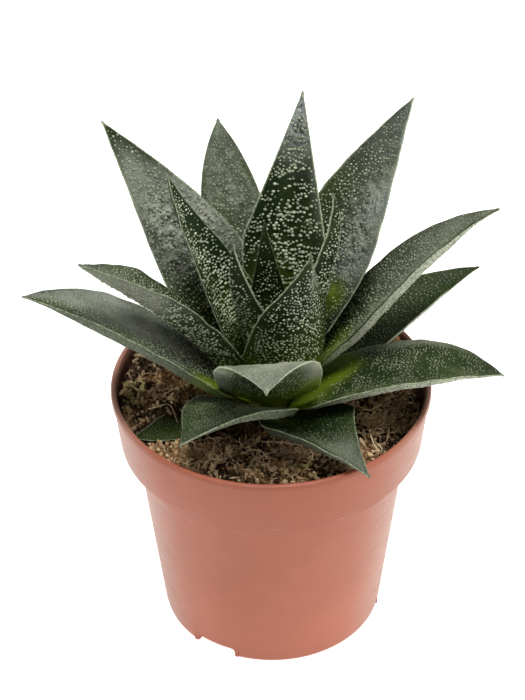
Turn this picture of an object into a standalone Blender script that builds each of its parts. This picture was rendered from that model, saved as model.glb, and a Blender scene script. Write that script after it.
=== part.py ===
"""Potted gasteria: a spotted rosette plant in a round nursery pot filled with coarse soil.

Units are metres, +Z is up, the pot axis is the Z axis and the table top is Z = 0.
The side of the plant seen in the photo faces -Y, and the photo's right is +X.
"""

import math
import random

import bmesh
import bpy
import numpy as np
from mathutils import Vector, noise

MM = 0.001

# Pot, a 12 cm nursery pot moulded in one piece
POT_HEIGHT = 105.0
RIM_RADIUS = 60.0
LIP_HEIGHT = 3.0
LIP_WIDTH = 2.2
COLLAR_HEIGHT = 24.0
COLLAR_FOOT_RADIUS = 57.2
WALL_TOP_RADIUS = 51.5
BASE_RADIUS = 42.5
WALL_THICK = 1.4
FLOOR_THICK = 1.6
POT_SIDES = 60
NOTCH_TURNS = (238.0, 358.0, 118.0)
NOTCH_WIDTH = 17.0
NOTCH_HEIGHT = 4.5
NOTCH_INNER_RADIUS = 22.0
DRAIN_HOLE_RADIUS = 3.5
DRAIN_HOLE_AT = 31.0

# Soil, one crumbly body with a plain hole for the root crown
GAP = 0.3
SOIL_SIDES = 48
SOIL_RINGS = (12.5, 16.5, 21.0, 26.0, 31.0, 36.0, 41.0, 46.0, 51.0)
SOIL_MIDDLE_LEVEL = 89.0
SOIL_EDGE_LEVEL = 95.5
SOIL_SIDE_TILT = 2.6
LUMP_HEIGHT = 2.2
CRUMB_HEIGHT = 1.1

# Root crown, the short stem that carries the leaves
CROWN_LEVEL = 94.0
CROWN_RADIUS = 8.6
CROWN_HOLE_RADIUS = 8.9
CROWN_DEPTH = 28.0
CROWN_PROFILE = (
    (0.0, 27.0), (1.3, 26.6), (2.2, 24.6), (2.5, 22.9), (3.3, 21.6), (4.7, 20.4), (5.4, 19.0),
    (6.4, 17.6), (7.2, 15.6), (8.2, 12.0), (8.6, 8.0), (8.6, 0.0), (8.6, -26.5), (7.4, -28.0), (0.0, -28.0),
)

# Leaf sizes in millimetres and degrees
# turn and tip_turn: direction seen from above, 0 to +X and 90 to the back
# foot and rise: heights of the leaf's foot and tip over the crown level
# foot_r and reach: distances of foot and tip from the pot axis
# lift and tip_lift: rise of the leaf's line at its two ends
# broad: where it is broadest; base: width share at the foot; taper: fullness towards the tip
# roll and tip_roll: turn about its own line; fold: how far the margins stand up
LEAF_DEFAULTS = dict(
    foot_r=9.0, broad=0.4, taper=1.6, base=0.6, neck=0.5, roll=0.0, tip_roll=0.0, fold=20.0, thick=3.6,
)
LEAVES = {
    "leaf_back_left": dict(
        turn=137, foot=14.3, lift=55, tip_turn=140, reach=80, rise=93, tip_lift=44,
        width=37, broad=0.39, taper=1.3, roll=-13, tip_roll=-8, fold=18, foot_r=9.5),
    "leaf_back_middle": dict(
        turn=107, foot=6.4, lift=47, tip_turn=102, reach=94, rise=68, tip_lift=22,
        width=28, broad=0.39, taper=2.3, roll=4, tip_roll=3, fold=14),
    "leaf_back_centre": dict(
        turn=77, foot=19, foot_r=7, lift=69, tip_turn=75, reach=48, rise=108, tip_lift=65,
        width=32, broad=0.44, taper=1.0, roll=2, tip_roll=12),
    "leaf_back_right": dict(
        turn=44, foot=15.4, lift=53, tip_turn=48, reach=80, rise=97, tip_lift=38,
        width=38, broad=0.44, taper=1.55, base=0.5, neck=0.4, roll=5, tip_roll=-10, fold=18, foot_r=9.6),
    "leaf_inner_left": dict(
        turn=153, foot=20.6, foot_r=6.4, lift=69, tip_turn=152, reach=41, rise=90, tip_lift=76,
        width=23, broad=0.24, taper=1.75, roll=-21, tip_roll=6),
    "leaf_right": dict(
        turn=12, foot=11.2, lift=38, tip_turn=11, reach=84, rise=77, tip_lift=19,
        width=25, broad=0.41, taper=1.95, roll=-4, tip_roll=-7),
    "leaf_right_behind": dict(
        turn=31, foot=2.2, lift=24, tip_turn=28, reach=90, rise=32, tip_lift=7,
        width=25, broad=0.35, taper=1.7, roll=8, tip_roll=8),
    "leaf_right_low": dict(
        turn=342, foot=6.2, lift=37, tip_turn=350, reach=86, rise=25, tip_lift=-29,
        width=31, broad=0.5, taper=2.3, base=0.9, neck=0.68, roll=3, tip_roll=-6, fold=4),
    "leaf_front_right": dict(
        turn=294, foot=0.8, lift=30, tip_turn=300, reach=68, rise=15, tip_lift=-6,
        width=38, broad=0.41, taper=0.85, base=0.5, roll=-1, tip_roll=-13, fold=16, neck=0.42),
    "leaf_front_left": dict(
        turn=251, foot=4.2, lift=48, tip_turn=235, reach=57, rise=20, tip_lift=-44,
        width=40, broad=0.3, taper=2.1, base=0.4, roll=1, tip_roll=14, fold=4, neck=0.42),
    "leaf_left": dict(
        turn=195, foot=7.1, lift=45, tip_turn=189, reach=89, rise=62, tip_lift=5,
        width=29, broad=0.4, taper=2.9, base=0.8, roll=-5, tip_roll=2, fold=5),
    "leaf_left_upper": dict(
        turn=196, foot=14, lift=62, tip_turn=199, reach=70, rise=82, tip_lift=42,
        width=28, broad=0.65, taper=1.2, roll=16, tip_roll=14, fold=27, foot_r=10.4),
    "leaf_front": dict(
        turn=267, foot=10.8, lift=60, tip_turn=268, reach=55, rise=50, tip_lift=-50,
        width=38, broad=0.38, taper=2.0, base=0.9, neck=0.32, roll=2, tip_roll=7, fold=1, foot_r=10.2),
    "leaf_heart_right": dict(
        turn=354, foot=20, foot_r=6.6, lift=74, tip_turn=14, reach=23, rise=91, tip_lift=108,
        width=21, broad=0.35, taper=1.25, roll=-34, tip_roll=-22, fold=12),
    "leaf_heart_front": dict(
        turn=291, foot=18, foot_r=8, lift=66, tip_turn=328, reach=16.5, rise=73.5, tip_lift=79,
        width=31, broad=0.58, taper=1.45, base=0.95, roll=-17, tip_roll=29, fold=14),
    "leaf_heart_back": dict(
        turn=92, foot=24, foot_r=3, lift=83, tip_turn=102, reach=9, rise=76, tip_lift=83,
        width=17, broad=0.31, taper=1.0),
    "leaf_heart_left": dict(
        turn=215, foot=22, foot_r=4, lift=77, tip_turn=211, reach=15, rise=78, tip_lift=92,
        width=19, broad=0.33, taper=1.3, roll=18),
    "leaf_small_low": dict(
        turn=203, foot=1, lift=10, tip_turn=205, reach=56, rise=4, tip_lift=17,
        width=17, broad=0.36, taper=1.8, tip_roll=-22),
    "leaf_hidden_back": dict(
        turn=87, foot=0.8, lift=22, tip_turn=86, reach=78, rise=26, tip_lift=5,
        width=24, taper=1.8),
    "leaf_hidden_back_right": dict(
        turn=57, foot=0, lift=11, tip_turn=58, reach=56, rise=12, tip_lift=0,
        width=14, taper=1.8, base=0.4),
    "leaf_hidden_back_left": dict(
        turn=133, foot=0.9, lift=20, tip_turn=124, reach=66, rise=14, tip_lift=2,
        width=20, taper=1.8),
}
MARGIN_THICK = 0.7
WART_HALF = 0.85
WART_HEIGHT = 0.5
WART_SHARE_UPPER = 0.26
WART_SHARE_LOWER = 0.3
SEED = 7


def start_scene():
    """Empty the scene and make the collections for the plant and its cutters."""
    for old in list(bpy.data.objects):
        bpy.data.objects.remove(old, do_unlink=True)
    plant = bpy.data.collections.new("potted_gasteria")
    tools = bpy.data.collections.new("cutters")
    bpy.context.scene.collection.children.link(plant)
    bpy.context.scene.collection.children.link(tools)
    return plant, tools


def make_material(name, colour, roughness):
    material = bpy.data.materials.new(name)
    material.use_nodes = True
    shader = material.node_tree.nodes["Principled BSDF"]
    shader.inputs["Base Color"].default_value = (*colour, 1.0)
    shader.inputs["Roughness"].default_value = roughness
    return material


def add_object(name, points_mm, faces, collection, material):
    """Put one mesh, given in millimetres, into the collection as a smooth shaded object."""
    mesh = bpy.data.meshes.new(name)
    mesh.from_pydata([tuple(c * MM for c in p) for p in points_mm], [], faces)
    mesh.validate()
    mesh.update()
    mesh.polygons.foreach_set("use_smooth", [True] * len(mesh.polygons))
    mesh.materials.append(material)
    obj = bpy.data.objects.new(name, mesh)
    collection.objects.link(obj)
    return obj


def turned(name, profile_mm, sides, collection, material):
    """Sweep a profile of (radius, height) once round the Z axis with a Screw modifier."""
    mesh = bpy.data.meshes.new(name)
    points = [(r * MM, 0.0, z * MM) for r, z in profile_mm]
    mesh.from_pydata(points, [(i, i + 1) for i in range(len(points) - 1)], [])
    mesh.materials.append(material)
    obj = bpy.data.objects.new(name, mesh)
    collection.objects.link(obj)
    screw = obj.modifiers.new("turn", "SCREW")
    screw.axis = "Z"
    screw.angle = 2.0 * math.pi
    screw.steps = sides
    screw.render_steps = sides
    screw.use_merge_vertices = True
    screw.merge_threshold = 0.00001
    screw.use_smooth_shade = True
    return obj


def block(name, size_mm, centre_mm, turn, collection, material):
    """Make a box whose local +X points along the given turn about the pot axis."""
    mesh = bpy.data.meshes.new(name)
    shape = bmesh.new()
    bmesh.ops.create_cube(shape, size=1.0)
    bmesh.ops.scale(shape, vec=[s * MM for s in size_mm], verts=shape.verts)
    bmesh.ops.translate(shape, vec=[c * MM for c in centre_mm], verts=shape.verts)
    shape.to_mesh(mesh)
    shape.free()
    mesh.materials.append(material)
    obj = bpy.data.objects.new(name, mesh)
    collection.objects.link(obj)
    obj.rotation_euler = (0.0, 0.0, math.radians(turn))
    return obj


def combine(target, other, operation):
    boolean = target.modifiers.new(other.name, "BOOLEAN")
    boolean.operation = operation
    boolean.solver = "EXACT"
    boolean.object = other


def hide_tool(obj):
    obj.hide_render = True
    obj.display_type = "WIRE"


def smooth_step(x):
    x = np.clip(x, 0.0, 1.0)
    return x * x * (3.0 - 2.0 * x)


def heading(turn, lift):
    a = math.radians(turn)
    b = math.radians(lift)
    return np.array([math.cos(a) * math.cos(b), math.sin(a) * math.cos(b), math.sin(b)])


def leaf_line(leaf, t):
    """Points and unit directions along the leaf's middle line, foot to tip."""
    a = math.radians(leaf["turn"])
    b = math.radians(leaf["tip_turn"])
    foot_level = CROWN_LEVEL + leaf["foot"]
    tip_level = CROWN_LEVEL + leaf["rise"]
    foot = np.array([leaf["foot_r"] * math.cos(a), leaf["foot_r"] * math.sin(a), foot_level])
    tip = np.array([leaf["reach"] * math.cos(b), leaf["reach"] * math.sin(b), tip_level])
    chord = tip - foot
    length = np.linalg.norm(chord)
    end_turn = leaf["turn"]
    if math.hypot(chord[0], chord[1]) > 8.0:
        end_turn = 2.0 * math.degrees(math.atan2(chord[1], chord[0])) - leaf["turn"]
    near_foot = foot + heading(leaf["turn"], leaf["lift"]) * length * 0.36
    near_tip = tip - heading(end_turn, leaf["tip_lift"]) * length * 0.33
    s = t[:, None]
    line = (1 - s) ** 3 * foot + 3 * (1 - s) ** 2 * s * near_foot
    line = line + 3 * (1 - s) * s ** 2 * near_tip + s ** 3 * tip
    along = (1 - s) ** 2 * (near_foot - foot) + 2 * (1 - s) * s * (near_tip - near_foot)
    along = along + s ** 2 * (tip - near_tip)
    return line, along / np.linalg.norm(along, axis=1)[:, None]


def leaf_surfaces(leaf, u, t):
    """Upper and lower face of the leaf on a grid, t from foot to tip and u from margin to margin."""
    line, along = leaf_line(leaf, t)
    a = math.radians(leaf["turn"])
    side = np.array([-math.sin(a), math.cos(a), 0.0])
    sides = []
    for k in range(len(t)):
        side = side - along[k] * (side @ along[k])
        side = side / np.linalg.norm(side)
        sides.append(side)
    sides = np.array(sides)
    normals = np.cross(along, sides)
    roll = np.radians(leaf["roll"] + (leaf["tip_roll"] - leaf["roll"]) * smooth_step(t))
    c = np.cos(roll)[:, None]
    s = np.sin(roll)[:, None]
    across = sides * c + normals * s
    up = normals * c - sides * s
    rising = leaf["base"] + (1.0 - leaf["base"]) * smooth_step(t / leaf["broad"])
    falling = 1.0 - np.clip((t - leaf["broad"]) / (1.0 - leaf["broad"]), 0.0, 1.0) ** leaf["taper"]
    share = np.where(t < leaf["broad"], rising, falling)
    share = share * (leaf["neck"] + (1.0 - leaf["neck"]) * smooth_step(t / 0.16))
    half = np.maximum(leaf["width"] * 0.5 * share, 0.35)
    slim = np.minimum(1.0, (half / (0.18 * leaf["width"])) ** 0.7)
    thick = leaf["thick"] * (1.0 - 0.75 * t ** 1.2) * slim
    rise = math.tan(math.radians(leaf["fold"]))
    level = 1.0 / math.sqrt(1.0 + rise * rise)
    upper = np.zeros((len(t), len(u), 3))
    lower = np.zeros((len(t), len(u), 3))
    for j, place in enumerate(u):
        out = abs(place)
        upper[:, j] = line + across * (half * place * level)[:, None]
        upper[:, j] += up * (half * rise * level * out ** 1.5)[:, None]
        depth = thick * (1.0 - out ** 1.6) + MARGIN_THICK
        lower[:, j] = upper[:, j] - up * depth[:, None]
    return upper, lower


def leaf_body(name, leaf, seed, collection, material):
    """Close the two faces of a leaf into one body and raise warts on some of its cells."""
    cells = 6 if leaf["width"] >= 27 else 4
    rows = 11 if leaf["width"] >= 20 else 10
    u = np.linspace(-1.0, 1.0, cells + 1)
    t = 1.0 - (1.0 - np.linspace(0.0, 1.0, rows + 1)) ** 1.15
    upper, lower = leaf_surfaces(leaf, u, t)
    points = [tuple(p) for p in upper.reshape(-1, 3)]
    points += [tuple(p) for p in lower.reshape(-1, 3)]
    faces = []
    dice = random.Random(seed)

    def at(face, i, j):
        return face * (rows + 1) * (cells + 1) + i * (cells + 1) + j

    def add_cell(face, i, j, share):
        corners = [at(face, i, j), at(face, i + 1, j), at(face, i + 1, j + 1), at(face, i, j + 1)]
        a, b, c, d = (np.array(points[k]) for k in corners)
        long_side = 0.5 * (np.linalg.norm(b - a) + np.linalg.norm(c - d))
        wide_side = 0.5 * (np.linalg.norm(d - a) + np.linalg.norm(c - b))
        lucky = dice.random() < share
        where = (0.5 + dice.uniform(-0.13, 0.13), 0.5 + dice.uniform(-0.1, 0.1))
        size = WART_HALF * dice.uniform(0.85, 1.2)
        triangles = []
        if lucky and i > 0 and i < rows - 1 and long_side > 3.4 and wide_side > 2.9:
            ring = []
            dl = size / long_side
            dw = size / wide_side
            for sl, sw in ((-dl, -dw), (dl, -dw), (dl, dw), (-dl, dw)):
                x = where[0] + sl
                y = where[1] + sw
                ring.append(len(points))
                points.append(tuple((a * (1 - x) + b * x) * (1 - y) + (d * (1 - x) + c * x) * y))
            normal = np.cross(b - a, d - a)
            normal = normal / np.linalg.norm(normal)
            if face == 1:
                normal = -normal
            middle = sum(np.array(points[k]) for k in ring) / 4.0
            top = len(points)
            points.append(tuple(middle + normal * WART_HEIGHT))
            for k in range(4):
                n = (k + 1) % 4
                triangles.append((corners[k], corners[n], ring[n]))
                triangles.append((corners[k], ring[n], ring[k]))
                triangles.append((ring[k], ring[n], top))
        else:
            triangles.append((corners[0], corners[1], corners[2]))
            triangles.append((corners[0], corners[2], corners[3]))
        for tri in triangles:
            faces.append(tri if face == 0 else tri[::-1])

    for i in range(rows):
        for j in range(cells):
            add_cell(0, i, j, WART_SHARE_UPPER)
            add_cell(1, i, j, WART_SHARE_LOWER)
    for i in range(rows):
        faces.append((at(0, i, 0), at(1, i, 0), at(1, i + 1, 0)))
        faces.append((at(0, i, 0), at(1, i + 1, 0), at(0, i + 1, 0)))
        faces.append((at(0, i, cells), at(0, i + 1, cells), at(1, i + 1, cells)))
        faces.append((at(0, i, cells), at(1, i + 1, cells), at(1, i, cells)))
    for j in range(cells):
        faces.append((at(0, 0, j), at(0, 0, j + 1), at(1, 0, j + 1)))
        faces.append((at(0, 0, j), at(1, 0, j + 1), at(1, 0, j)))
        faces.append((at(0, rows, j), at(1, rows, j), at(1, rows, j + 1)))
        faces.append((at(0, rows, j), at(1, rows, j + 1), at(0, rows, j + 1)))
    return add_object(name, points, faces, collection, material)


def pot_body(collection, tools, material):
    """Turn the pot with its collar, then mould in the three drain channels at the foot."""
    collar_foot = POT_HEIGHT - COLLAR_HEIGHT
    lip_foot = POT_HEIGHT - LIP_HEIGHT
    profile = [
        (0.0, FLOOR_THICK),
        (BASE_RADIUS - WALL_THICK, FLOOR_THICK),
        (WALL_TOP_RADIUS - WALL_THICK, collar_foot - 0.6),
        (COLLAR_FOOT_RADIUS - WALL_THICK, collar_foot + 1.4),
        (RIM_RADIUS - LIP_WIDTH, lip_foot),
        (RIM_RADIUS - LIP_WIDTH + 0.1, POT_HEIGHT - 0.5),
        (RIM_RADIUS - LIP_WIDTH + 0.6, POT_HEIGHT),
        (RIM_RADIUS - 0.7, POT_HEIGHT),
        (RIM_RADIUS, POT_HEIGHT - 0.8),
        (RIM_RADIUS, lip_foot + 0.3),
        (RIM_RADIUS - 0.6, lip_foot),
        (COLLAR_FOOT_RADIUS, collar_foot + 0.4),
        (COLLAR_FOOT_RADIUS - 0.6, collar_foot),
        (WALL_TOP_RADIUS, collar_foot - 0.6),
        (BASE_RADIUS, 1.0),
        (BASE_RADIUS - 0.9, 0.0),
        (0.0, 0.0),
    ]
    pot = turned("pot", profile, POT_SIDES, collection, material)
    for k, turn in enumerate(NOTCH_TURNS):
        far = BASE_RADIUS - WALL_THICK * 0.5
        near = NOTCH_INNER_RADIUS - WALL_THICK
        size = (far - near, NOTCH_WIDTH + 2 * WALL_THICK, NOTCH_HEIGHT + WALL_THICK - 0.8)
        centre = ((far + near) / 2, 0.0, 0.8 + size[2] / 2)
        cover = block(f"channel_cover_{k + 1}", size, centre, turn, tools, material)
        hide_tool(cover)
        combine(pot, cover, "UNION")
    for k, turn in enumerate(NOTCH_TURNS):
        far = BASE_RADIUS + 6.0
        near = NOTCH_INNER_RADIUS
        size = (far - near, NOTCH_WIDTH, NOTCH_HEIGHT + 2.0)
        centre = ((far + near) / 2, 0.0, NOTCH_HEIGHT - size[2] / 2)
        channel = block(f"channel_{k + 1}", size, centre, turn, tools, material)
        hide_tool(channel)
        combine(pot, channel, "DIFFERENCE")
        drill_profile = [(0.0, 9.0), (DRAIN_HOLE_RADIUS, 9.0), (DRAIN_HOLE_RADIUS, 2.0), (0.0, 2.0)]
        drill = turned(f"drain_drill_{k + 1}", drill_profile, 20, tools, material)
        a = math.radians(turn)
        drill.location = (DRAIN_HOLE_AT * MM * math.cos(a), DRAIN_HOLE_AT * MM * math.sin(a), 0.0)
        hide_tool(drill)
        combine(pot, drill, "DIFFERENCE")
    return pot


def soil_level(x, y, low_points):
    """Height of the soil at a place: lumps and crumbs, kept clear of the leaves above it."""
    r = math.hypot(x, y)
    outward = float(smooth_step((r - 10.0) / 38.0))
    level = SOIL_MIDDLE_LEVEL + (SOIL_EDGE_LEVEL - SOIL_MIDDLE_LEVEL) * outward
    level -= SOIL_SIDE_TILT * (x / 50.0) * float(smooth_step((r - 20.0) / 25.0))
    swell = float(smooth_step((r - 9.0) / 8.0))
    level += swell * LUMP_HEIGHT * noise.noise(Vector((x * 0.16, y * 0.16, 3.7)))
    level += swell * CRUMB_HEIGHT * noise.noise(Vector((x * 0.61, y * 0.61, 9.1)))
    near = low_points[np.hypot(low_points[:, 0] - x, low_points[:, 1] - y) < 7.5]
    if len(near):
        level = min(level, float(near[:, 2].min()) - 1.3)
    return level


def soil_body(collection, tools, material):
    """Fill the pot to just inside its wall, crumbly on top, with a hole for the crown."""
    low = []
    for leaf in LEAVES.values():
        shape = dict(LEAF_DEFAULTS, **leaf)
        lower = leaf_surfaces(shape, np.linspace(-1, 1, 7), np.linspace(0, 1, 15))[1]
        low.append(lower.reshape(-1, 3))
    low_points = np.vstack(low)
    dice = random.Random(SEED)
    collar_foot = POT_HEIGHT - COLLAR_HEIGHT
    inner_top = COLLAR_FOOT_RADIUS - WALL_THICK
    slope = (RIM_RADIUS - LIP_WIDTH - inner_top) / (POT_HEIGHT - LIP_HEIGHT - collar_foot - 1.4)
    points = []
    loops = []

    def ring(radius_of, level_of, stagger=0.0):
        loop = []
        for k in range(SOIL_SIDES):
            a = 2.0 * math.pi * (k + stagger) / SOIL_SIDES
            r = radius_of(a)
            x = r * math.cos(a)
            y = r * math.sin(a)
            loop.append(len(points))
            points.append((x, y, level_of(x, y)))
        loops.append(loop)

    ring(lambda a: CROWN_HOLE_RADIUS, lambda x, y: CROWN_LEVEL - CROWN_DEPTH - GAP)
    ring(lambda a: CROWN_HOLE_RADIUS, lambda x, y: SOIL_MIDDLE_LEVEL - 0.4)
    for r in SOIL_RINGS:
        ring(
            lambda a: r + dice.uniform(-1.4, 1.4),
            lambda x, y: soil_level(x, y, low_points) + dice.uniform(-0.8, 0.8))
    rim_level = SOIL_EDGE_LEVEL - 1.0
    edge = inner_top + (rim_level - 4.0 - collar_foot - 1.4) * slope - GAP
    ring(
        lambda a: edge,
        lambda x, y: soil_level(x, y, low_points) - 1.0 + dice.uniform(-0.6, 0.6))
    ring(lambda a: inner_top - GAP, lambda x, y: collar_foot + 1.4 + GAP * 0.5)
    ring(lambda a: WALL_TOP_RADIUS - WALL_THICK - GAP, lambda x, y: collar_foot - 0.6 + GAP * 0.5)
    ring(lambda a: BASE_RADIUS - WALL_THICK - GAP, lambda x, y: FLOOR_THICK + GAP)
    faces = []
    for inner, outer in zip(loops[:-1], loops[1:]):
        for k in range(SOIL_SIDES):
            n = (k + 1) % SOIL_SIDES
            faces.append((inner[k], outer[k], outer[n]))
            faces.append((inner[k], outer[n], inner[n]))
    hole_floor = len(points)
    points.append((0.0, 0.0, CROWN_LEVEL - CROWN_DEPTH - GAP))
    under = len(points)
    points.append((0.0, 0.0, FLOOR_THICK + GAP))
    for k in range(SOIL_SIDES):
        n = (k + 1) % SOIL_SIDES
        faces.append((hole_floor, loops[0][k], loops[0][n]))
        faces.append((under, loops[-1][n], loops[-1][k]))
    soil = add_object("soil", points, faces, collection, material)
    soil.data.polygons.foreach_set("use_smooth", [False] * len(faces))
    for k, turn in enumerate(NOTCH_TURNS):
        far = BASE_RADIUS + 4.0
        near = NOTCH_INNER_RADIUS - WALL_THICK - GAP
        top = NOTCH_HEIGHT + WALL_THICK + GAP
        size = (far - near, NOTCH_WIDTH + 2 * WALL_THICK + 2 * GAP, top + 2.0)
        centre = ((far + near) / 2, 0.0, top - size[2] / 2)
        room = block(f"soil_room_{k + 1}", size, centre, turn, tools, material)
        hide_tool(room)
        combine(soil, room, "DIFFERENCE")
    return soil


def crown_body(collection, material):
    profile = [(r, CROWN_LEVEL + h) for r, h in CROWN_PROFILE]
    return turned("crown", profile, 24, collection, material)


def main():
    plant, tools = start_scene()
    plastic = make_material("pot_plastic", (0.42, 0.16, 0.11), 0.55)
    peat = make_material("soil_peat", (0.09, 0.055, 0.035), 0.95)
    stem = make_material("crown_flesh", (0.2, 0.26, 0.05), 0.6)
    leaf_green = make_material("leaf_green", (0.05, 0.08, 0.035), 0.5)
    pot_body(plant, tools, plastic)
    soil_body(plant, tools, peat)
    crown_body(plant, stem)
    for k, (name, leaf) in enumerate(LEAVES.items()):
        leaf_body(name, dict(LEAF_DEFAULTS, **leaf), SEED + 31 * k, plant, leaf_green)


main()
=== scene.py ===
"""Potted gasteria: a spotted rosette plant in its nursery pot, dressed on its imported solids.

Blender units are metres with +Z up. The pot's axis is the Z axis, the table top is Z = 0 and the
side in the photo faces -Y. Every size written in a section is in millimetres.
"""

import math

import bmesh
import bpy
import numpy as np
from mathutils import Matrix, Vector, noise


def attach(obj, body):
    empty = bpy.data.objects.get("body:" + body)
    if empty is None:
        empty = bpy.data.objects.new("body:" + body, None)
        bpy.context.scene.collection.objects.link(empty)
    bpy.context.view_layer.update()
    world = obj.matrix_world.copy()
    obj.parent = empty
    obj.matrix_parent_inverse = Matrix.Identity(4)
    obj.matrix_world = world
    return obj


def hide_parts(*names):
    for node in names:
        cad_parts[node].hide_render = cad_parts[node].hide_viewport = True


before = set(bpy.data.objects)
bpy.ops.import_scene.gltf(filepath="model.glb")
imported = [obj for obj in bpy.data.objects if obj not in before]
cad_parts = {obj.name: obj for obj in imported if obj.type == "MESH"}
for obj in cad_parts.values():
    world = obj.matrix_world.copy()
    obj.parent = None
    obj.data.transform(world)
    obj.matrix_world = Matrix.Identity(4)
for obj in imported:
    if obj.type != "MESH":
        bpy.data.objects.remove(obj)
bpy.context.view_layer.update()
MM = 0.001

# Pot
# A 12 cm nursery pot moulded in one piece from terracotta coloured polypropylene: a tapered wall,
# a deep collar and a rolled lip, with three low channels under the foot that drain its holes.

POT_HEIGHT = 105.0
RIM_RADIUS = 60.0
LIP_HEIGHT = 3.0
LIP_WIDTH = 2.2
COLLAR_HEIGHT = 24.0
COLLAR_FOOT_RADIUS = 57.2
WALL_TOP_RADIUS = 51.5
BASE_RADIUS = 42.5
WALL_THICK = 1.4
FLOOR_THICK = 1.6
POT_SIDES = 160
CHANNEL_TURNS = (238.0, 358.0, 118.0)
CHANNEL_WIDTH = 17.0
CHANNEL_HEIGHT = 4.5
CHANNEL_INNER_RADIUS = 22.0
CHANNEL_CORNER = 1.6
DRAIN_HOLE_RADIUS = 3.5
DRAIN_HOLE_AT = 31.0
INSIDE_LEAN = 0.113
INSIDE_START = 46.5
TERRACOTTA = (167, 97, 74)
TERRACOTTA_DEEP = (159, 90, 67)
TERRACOTTA_RUBBED = (178, 118, 98)
TERRACOTTA_PAINTED_SHEEN = (172, 150, 135)
FOOT_PAINTED_LIGHT = (186, 112, 88)
COLLAR_PAINTED_SHADE = (150, 82, 60)
COLLAR_EDGE_PAINTED_SHADOW = (112, 58, 44)
COLLAR_EDGE_PAINTED_HIGHLIGHT = (200, 140, 118)
LIP_PAINTED_SHADE = (134, 74, 60)
SOIL_STAIN_AND_SHADE = (40, 21, 11)


def paint(colour):
    """The linear colour that a shader takes, from a screen colour of 0 to 255."""
    shares = [part / 255.0 for part in colour]
    return (*(c / 12.92 if c <= 0.04045 else ((c + 0.055) / 1.055) ** 2.4 for c in shares), 1.0)


def put(tree, kind, inputs=None, take=0, **settings):
    """Add a node, set its options, set or link its inputs, and give the output to take, if any."""
    node = tree.nodes.new(kind)
    for key, value in settings.items():
        setattr(node, key, value)
    for key, value in (inputs or {}).items():
        if isinstance(value, bpy.types.NodeSocket):
            tree.links.new(value, node.inputs[key])
        else:
            node.inputs[key].default_value = value
    return node if take is None else node.outputs[take]


def tint(tree, share, first, second):
    """Go from one colour to another by a share; each is a screen colour or a socket."""
    ends = [c if isinstance(c, bpy.types.NodeSocket) else paint(c) for c in (first, second)]
    return put(tree, "ShaderNodeMix", {0: share, 6: ends[0], 7: ends[1]}, data_type="RGBA", take=2)


def ease(tree, value, low, high, to_low=0.0, to_high=1.0):
    """Ease a value between two limits."""
    inputs = {"Value": value, "From Min": low, "From Max": high, "To Min": to_low, "To Max": to_high}
    return put(tree, "ShaderNodeMapRange", inputs, interpolation_type="SMOOTHSTEP")


def ease_mm(tree, size, low, high, to_low=0.0, to_high=1.0):
    """Ease a height or a distance between two limits in millimetres."""
    return ease(tree, size, low * MM, high * MM, to_low, to_high)


def reckon(tree, operation, *values):
    return put(tree, "ShaderNodeMath", dict(enumerate(values)), operation=operation)


def times(tree, first, second):
    return reckon(tree, "MULTIPLY", first, second)


def vector(tree, *values):
    return put(tree, "ShaderNodeCombineXYZ", dict(enumerate(values)))


def stripe(tree, height, rise, fall):
    """A level stripe that comes in over one pair of heights and goes out over another."""
    return times(tree, ease_mm(tree, height, *rise), ease_mm(tree, height, *fall, 1.0, 0.0))


def clouds(tree, place, per_metre, detail=3.0, rough=0.5):
    """Soft cloudy shares, with so many clouds to the metre."""
    inputs = {"Vector": place, "Scale": per_metre, "Detail": detail, "Roughness": rough}
    return put(tree, "ShaderNodeTexNoise", inputs)


def start_finish(name, **constants):
    """A new material, with its shader's constants set; gives its tree, shader and object place."""
    finish = bpy.data.materials.new(name)
    finish.use_nodes = True
    tree = finish.node_tree
    shader = tree.nodes["Principled BSDF"]
    for key, value in constants.items():
        shader.inputs[key.replace("_", " ")].default_value = value
    return finish, tree, shader, put(tree, "ShaderNodeTexCoord", take="Object")


def coat(tree, shader, first, *coats):
    """Give the surface a first colour, with others laid over it in turn, each by its share."""
    for share, colour in coats:
        first = tint(tree, share, first, colour)
    tree.links.new(first, shader.inputs["Base Color"])


def grain(tree, shader, height, strength, depth_mm):
    """Press a height pattern into the surface, over what is pressed in already."""
    inputs = {"Height": height, "Strength": strength, "Distance": depth_mm * MM}
    if shader.inputs["Normal"].is_linked:
        inputs["Normal"] = shader.inputs["Normal"].links[0].from_socket
    tree.links.new(put(tree, "ShaderNodeBump", inputs), shader.inputs["Normal"])


def hang(name, mesh):
    obj = bpy.data.objects.new(name, mesh)
    bpy.context.scene.collection.objects.link(obj)
    return obj


def turned(name, profile, sides):
    """Sweep a profile of radius and height once round the pot's axis."""
    mesh = bpy.data.meshes.new(name)
    points = [(r * MM, 0.0, z * MM) for r, z in profile]
    mesh.from_pydata(points, [(i, i + 1) for i in range(len(points) - 1)], [])
    obj = hang(name, mesh)
    screw = obj.modifiers.new("turn", "SCREW")
    screw.axis = "Z"
    screw.steps = sides
    screw.render_steps = sides
    screw.use_merge_vertices = True
    screw.merge_threshold = 0.00001
    screw.use_smooth_shade = True
    return obj


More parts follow.
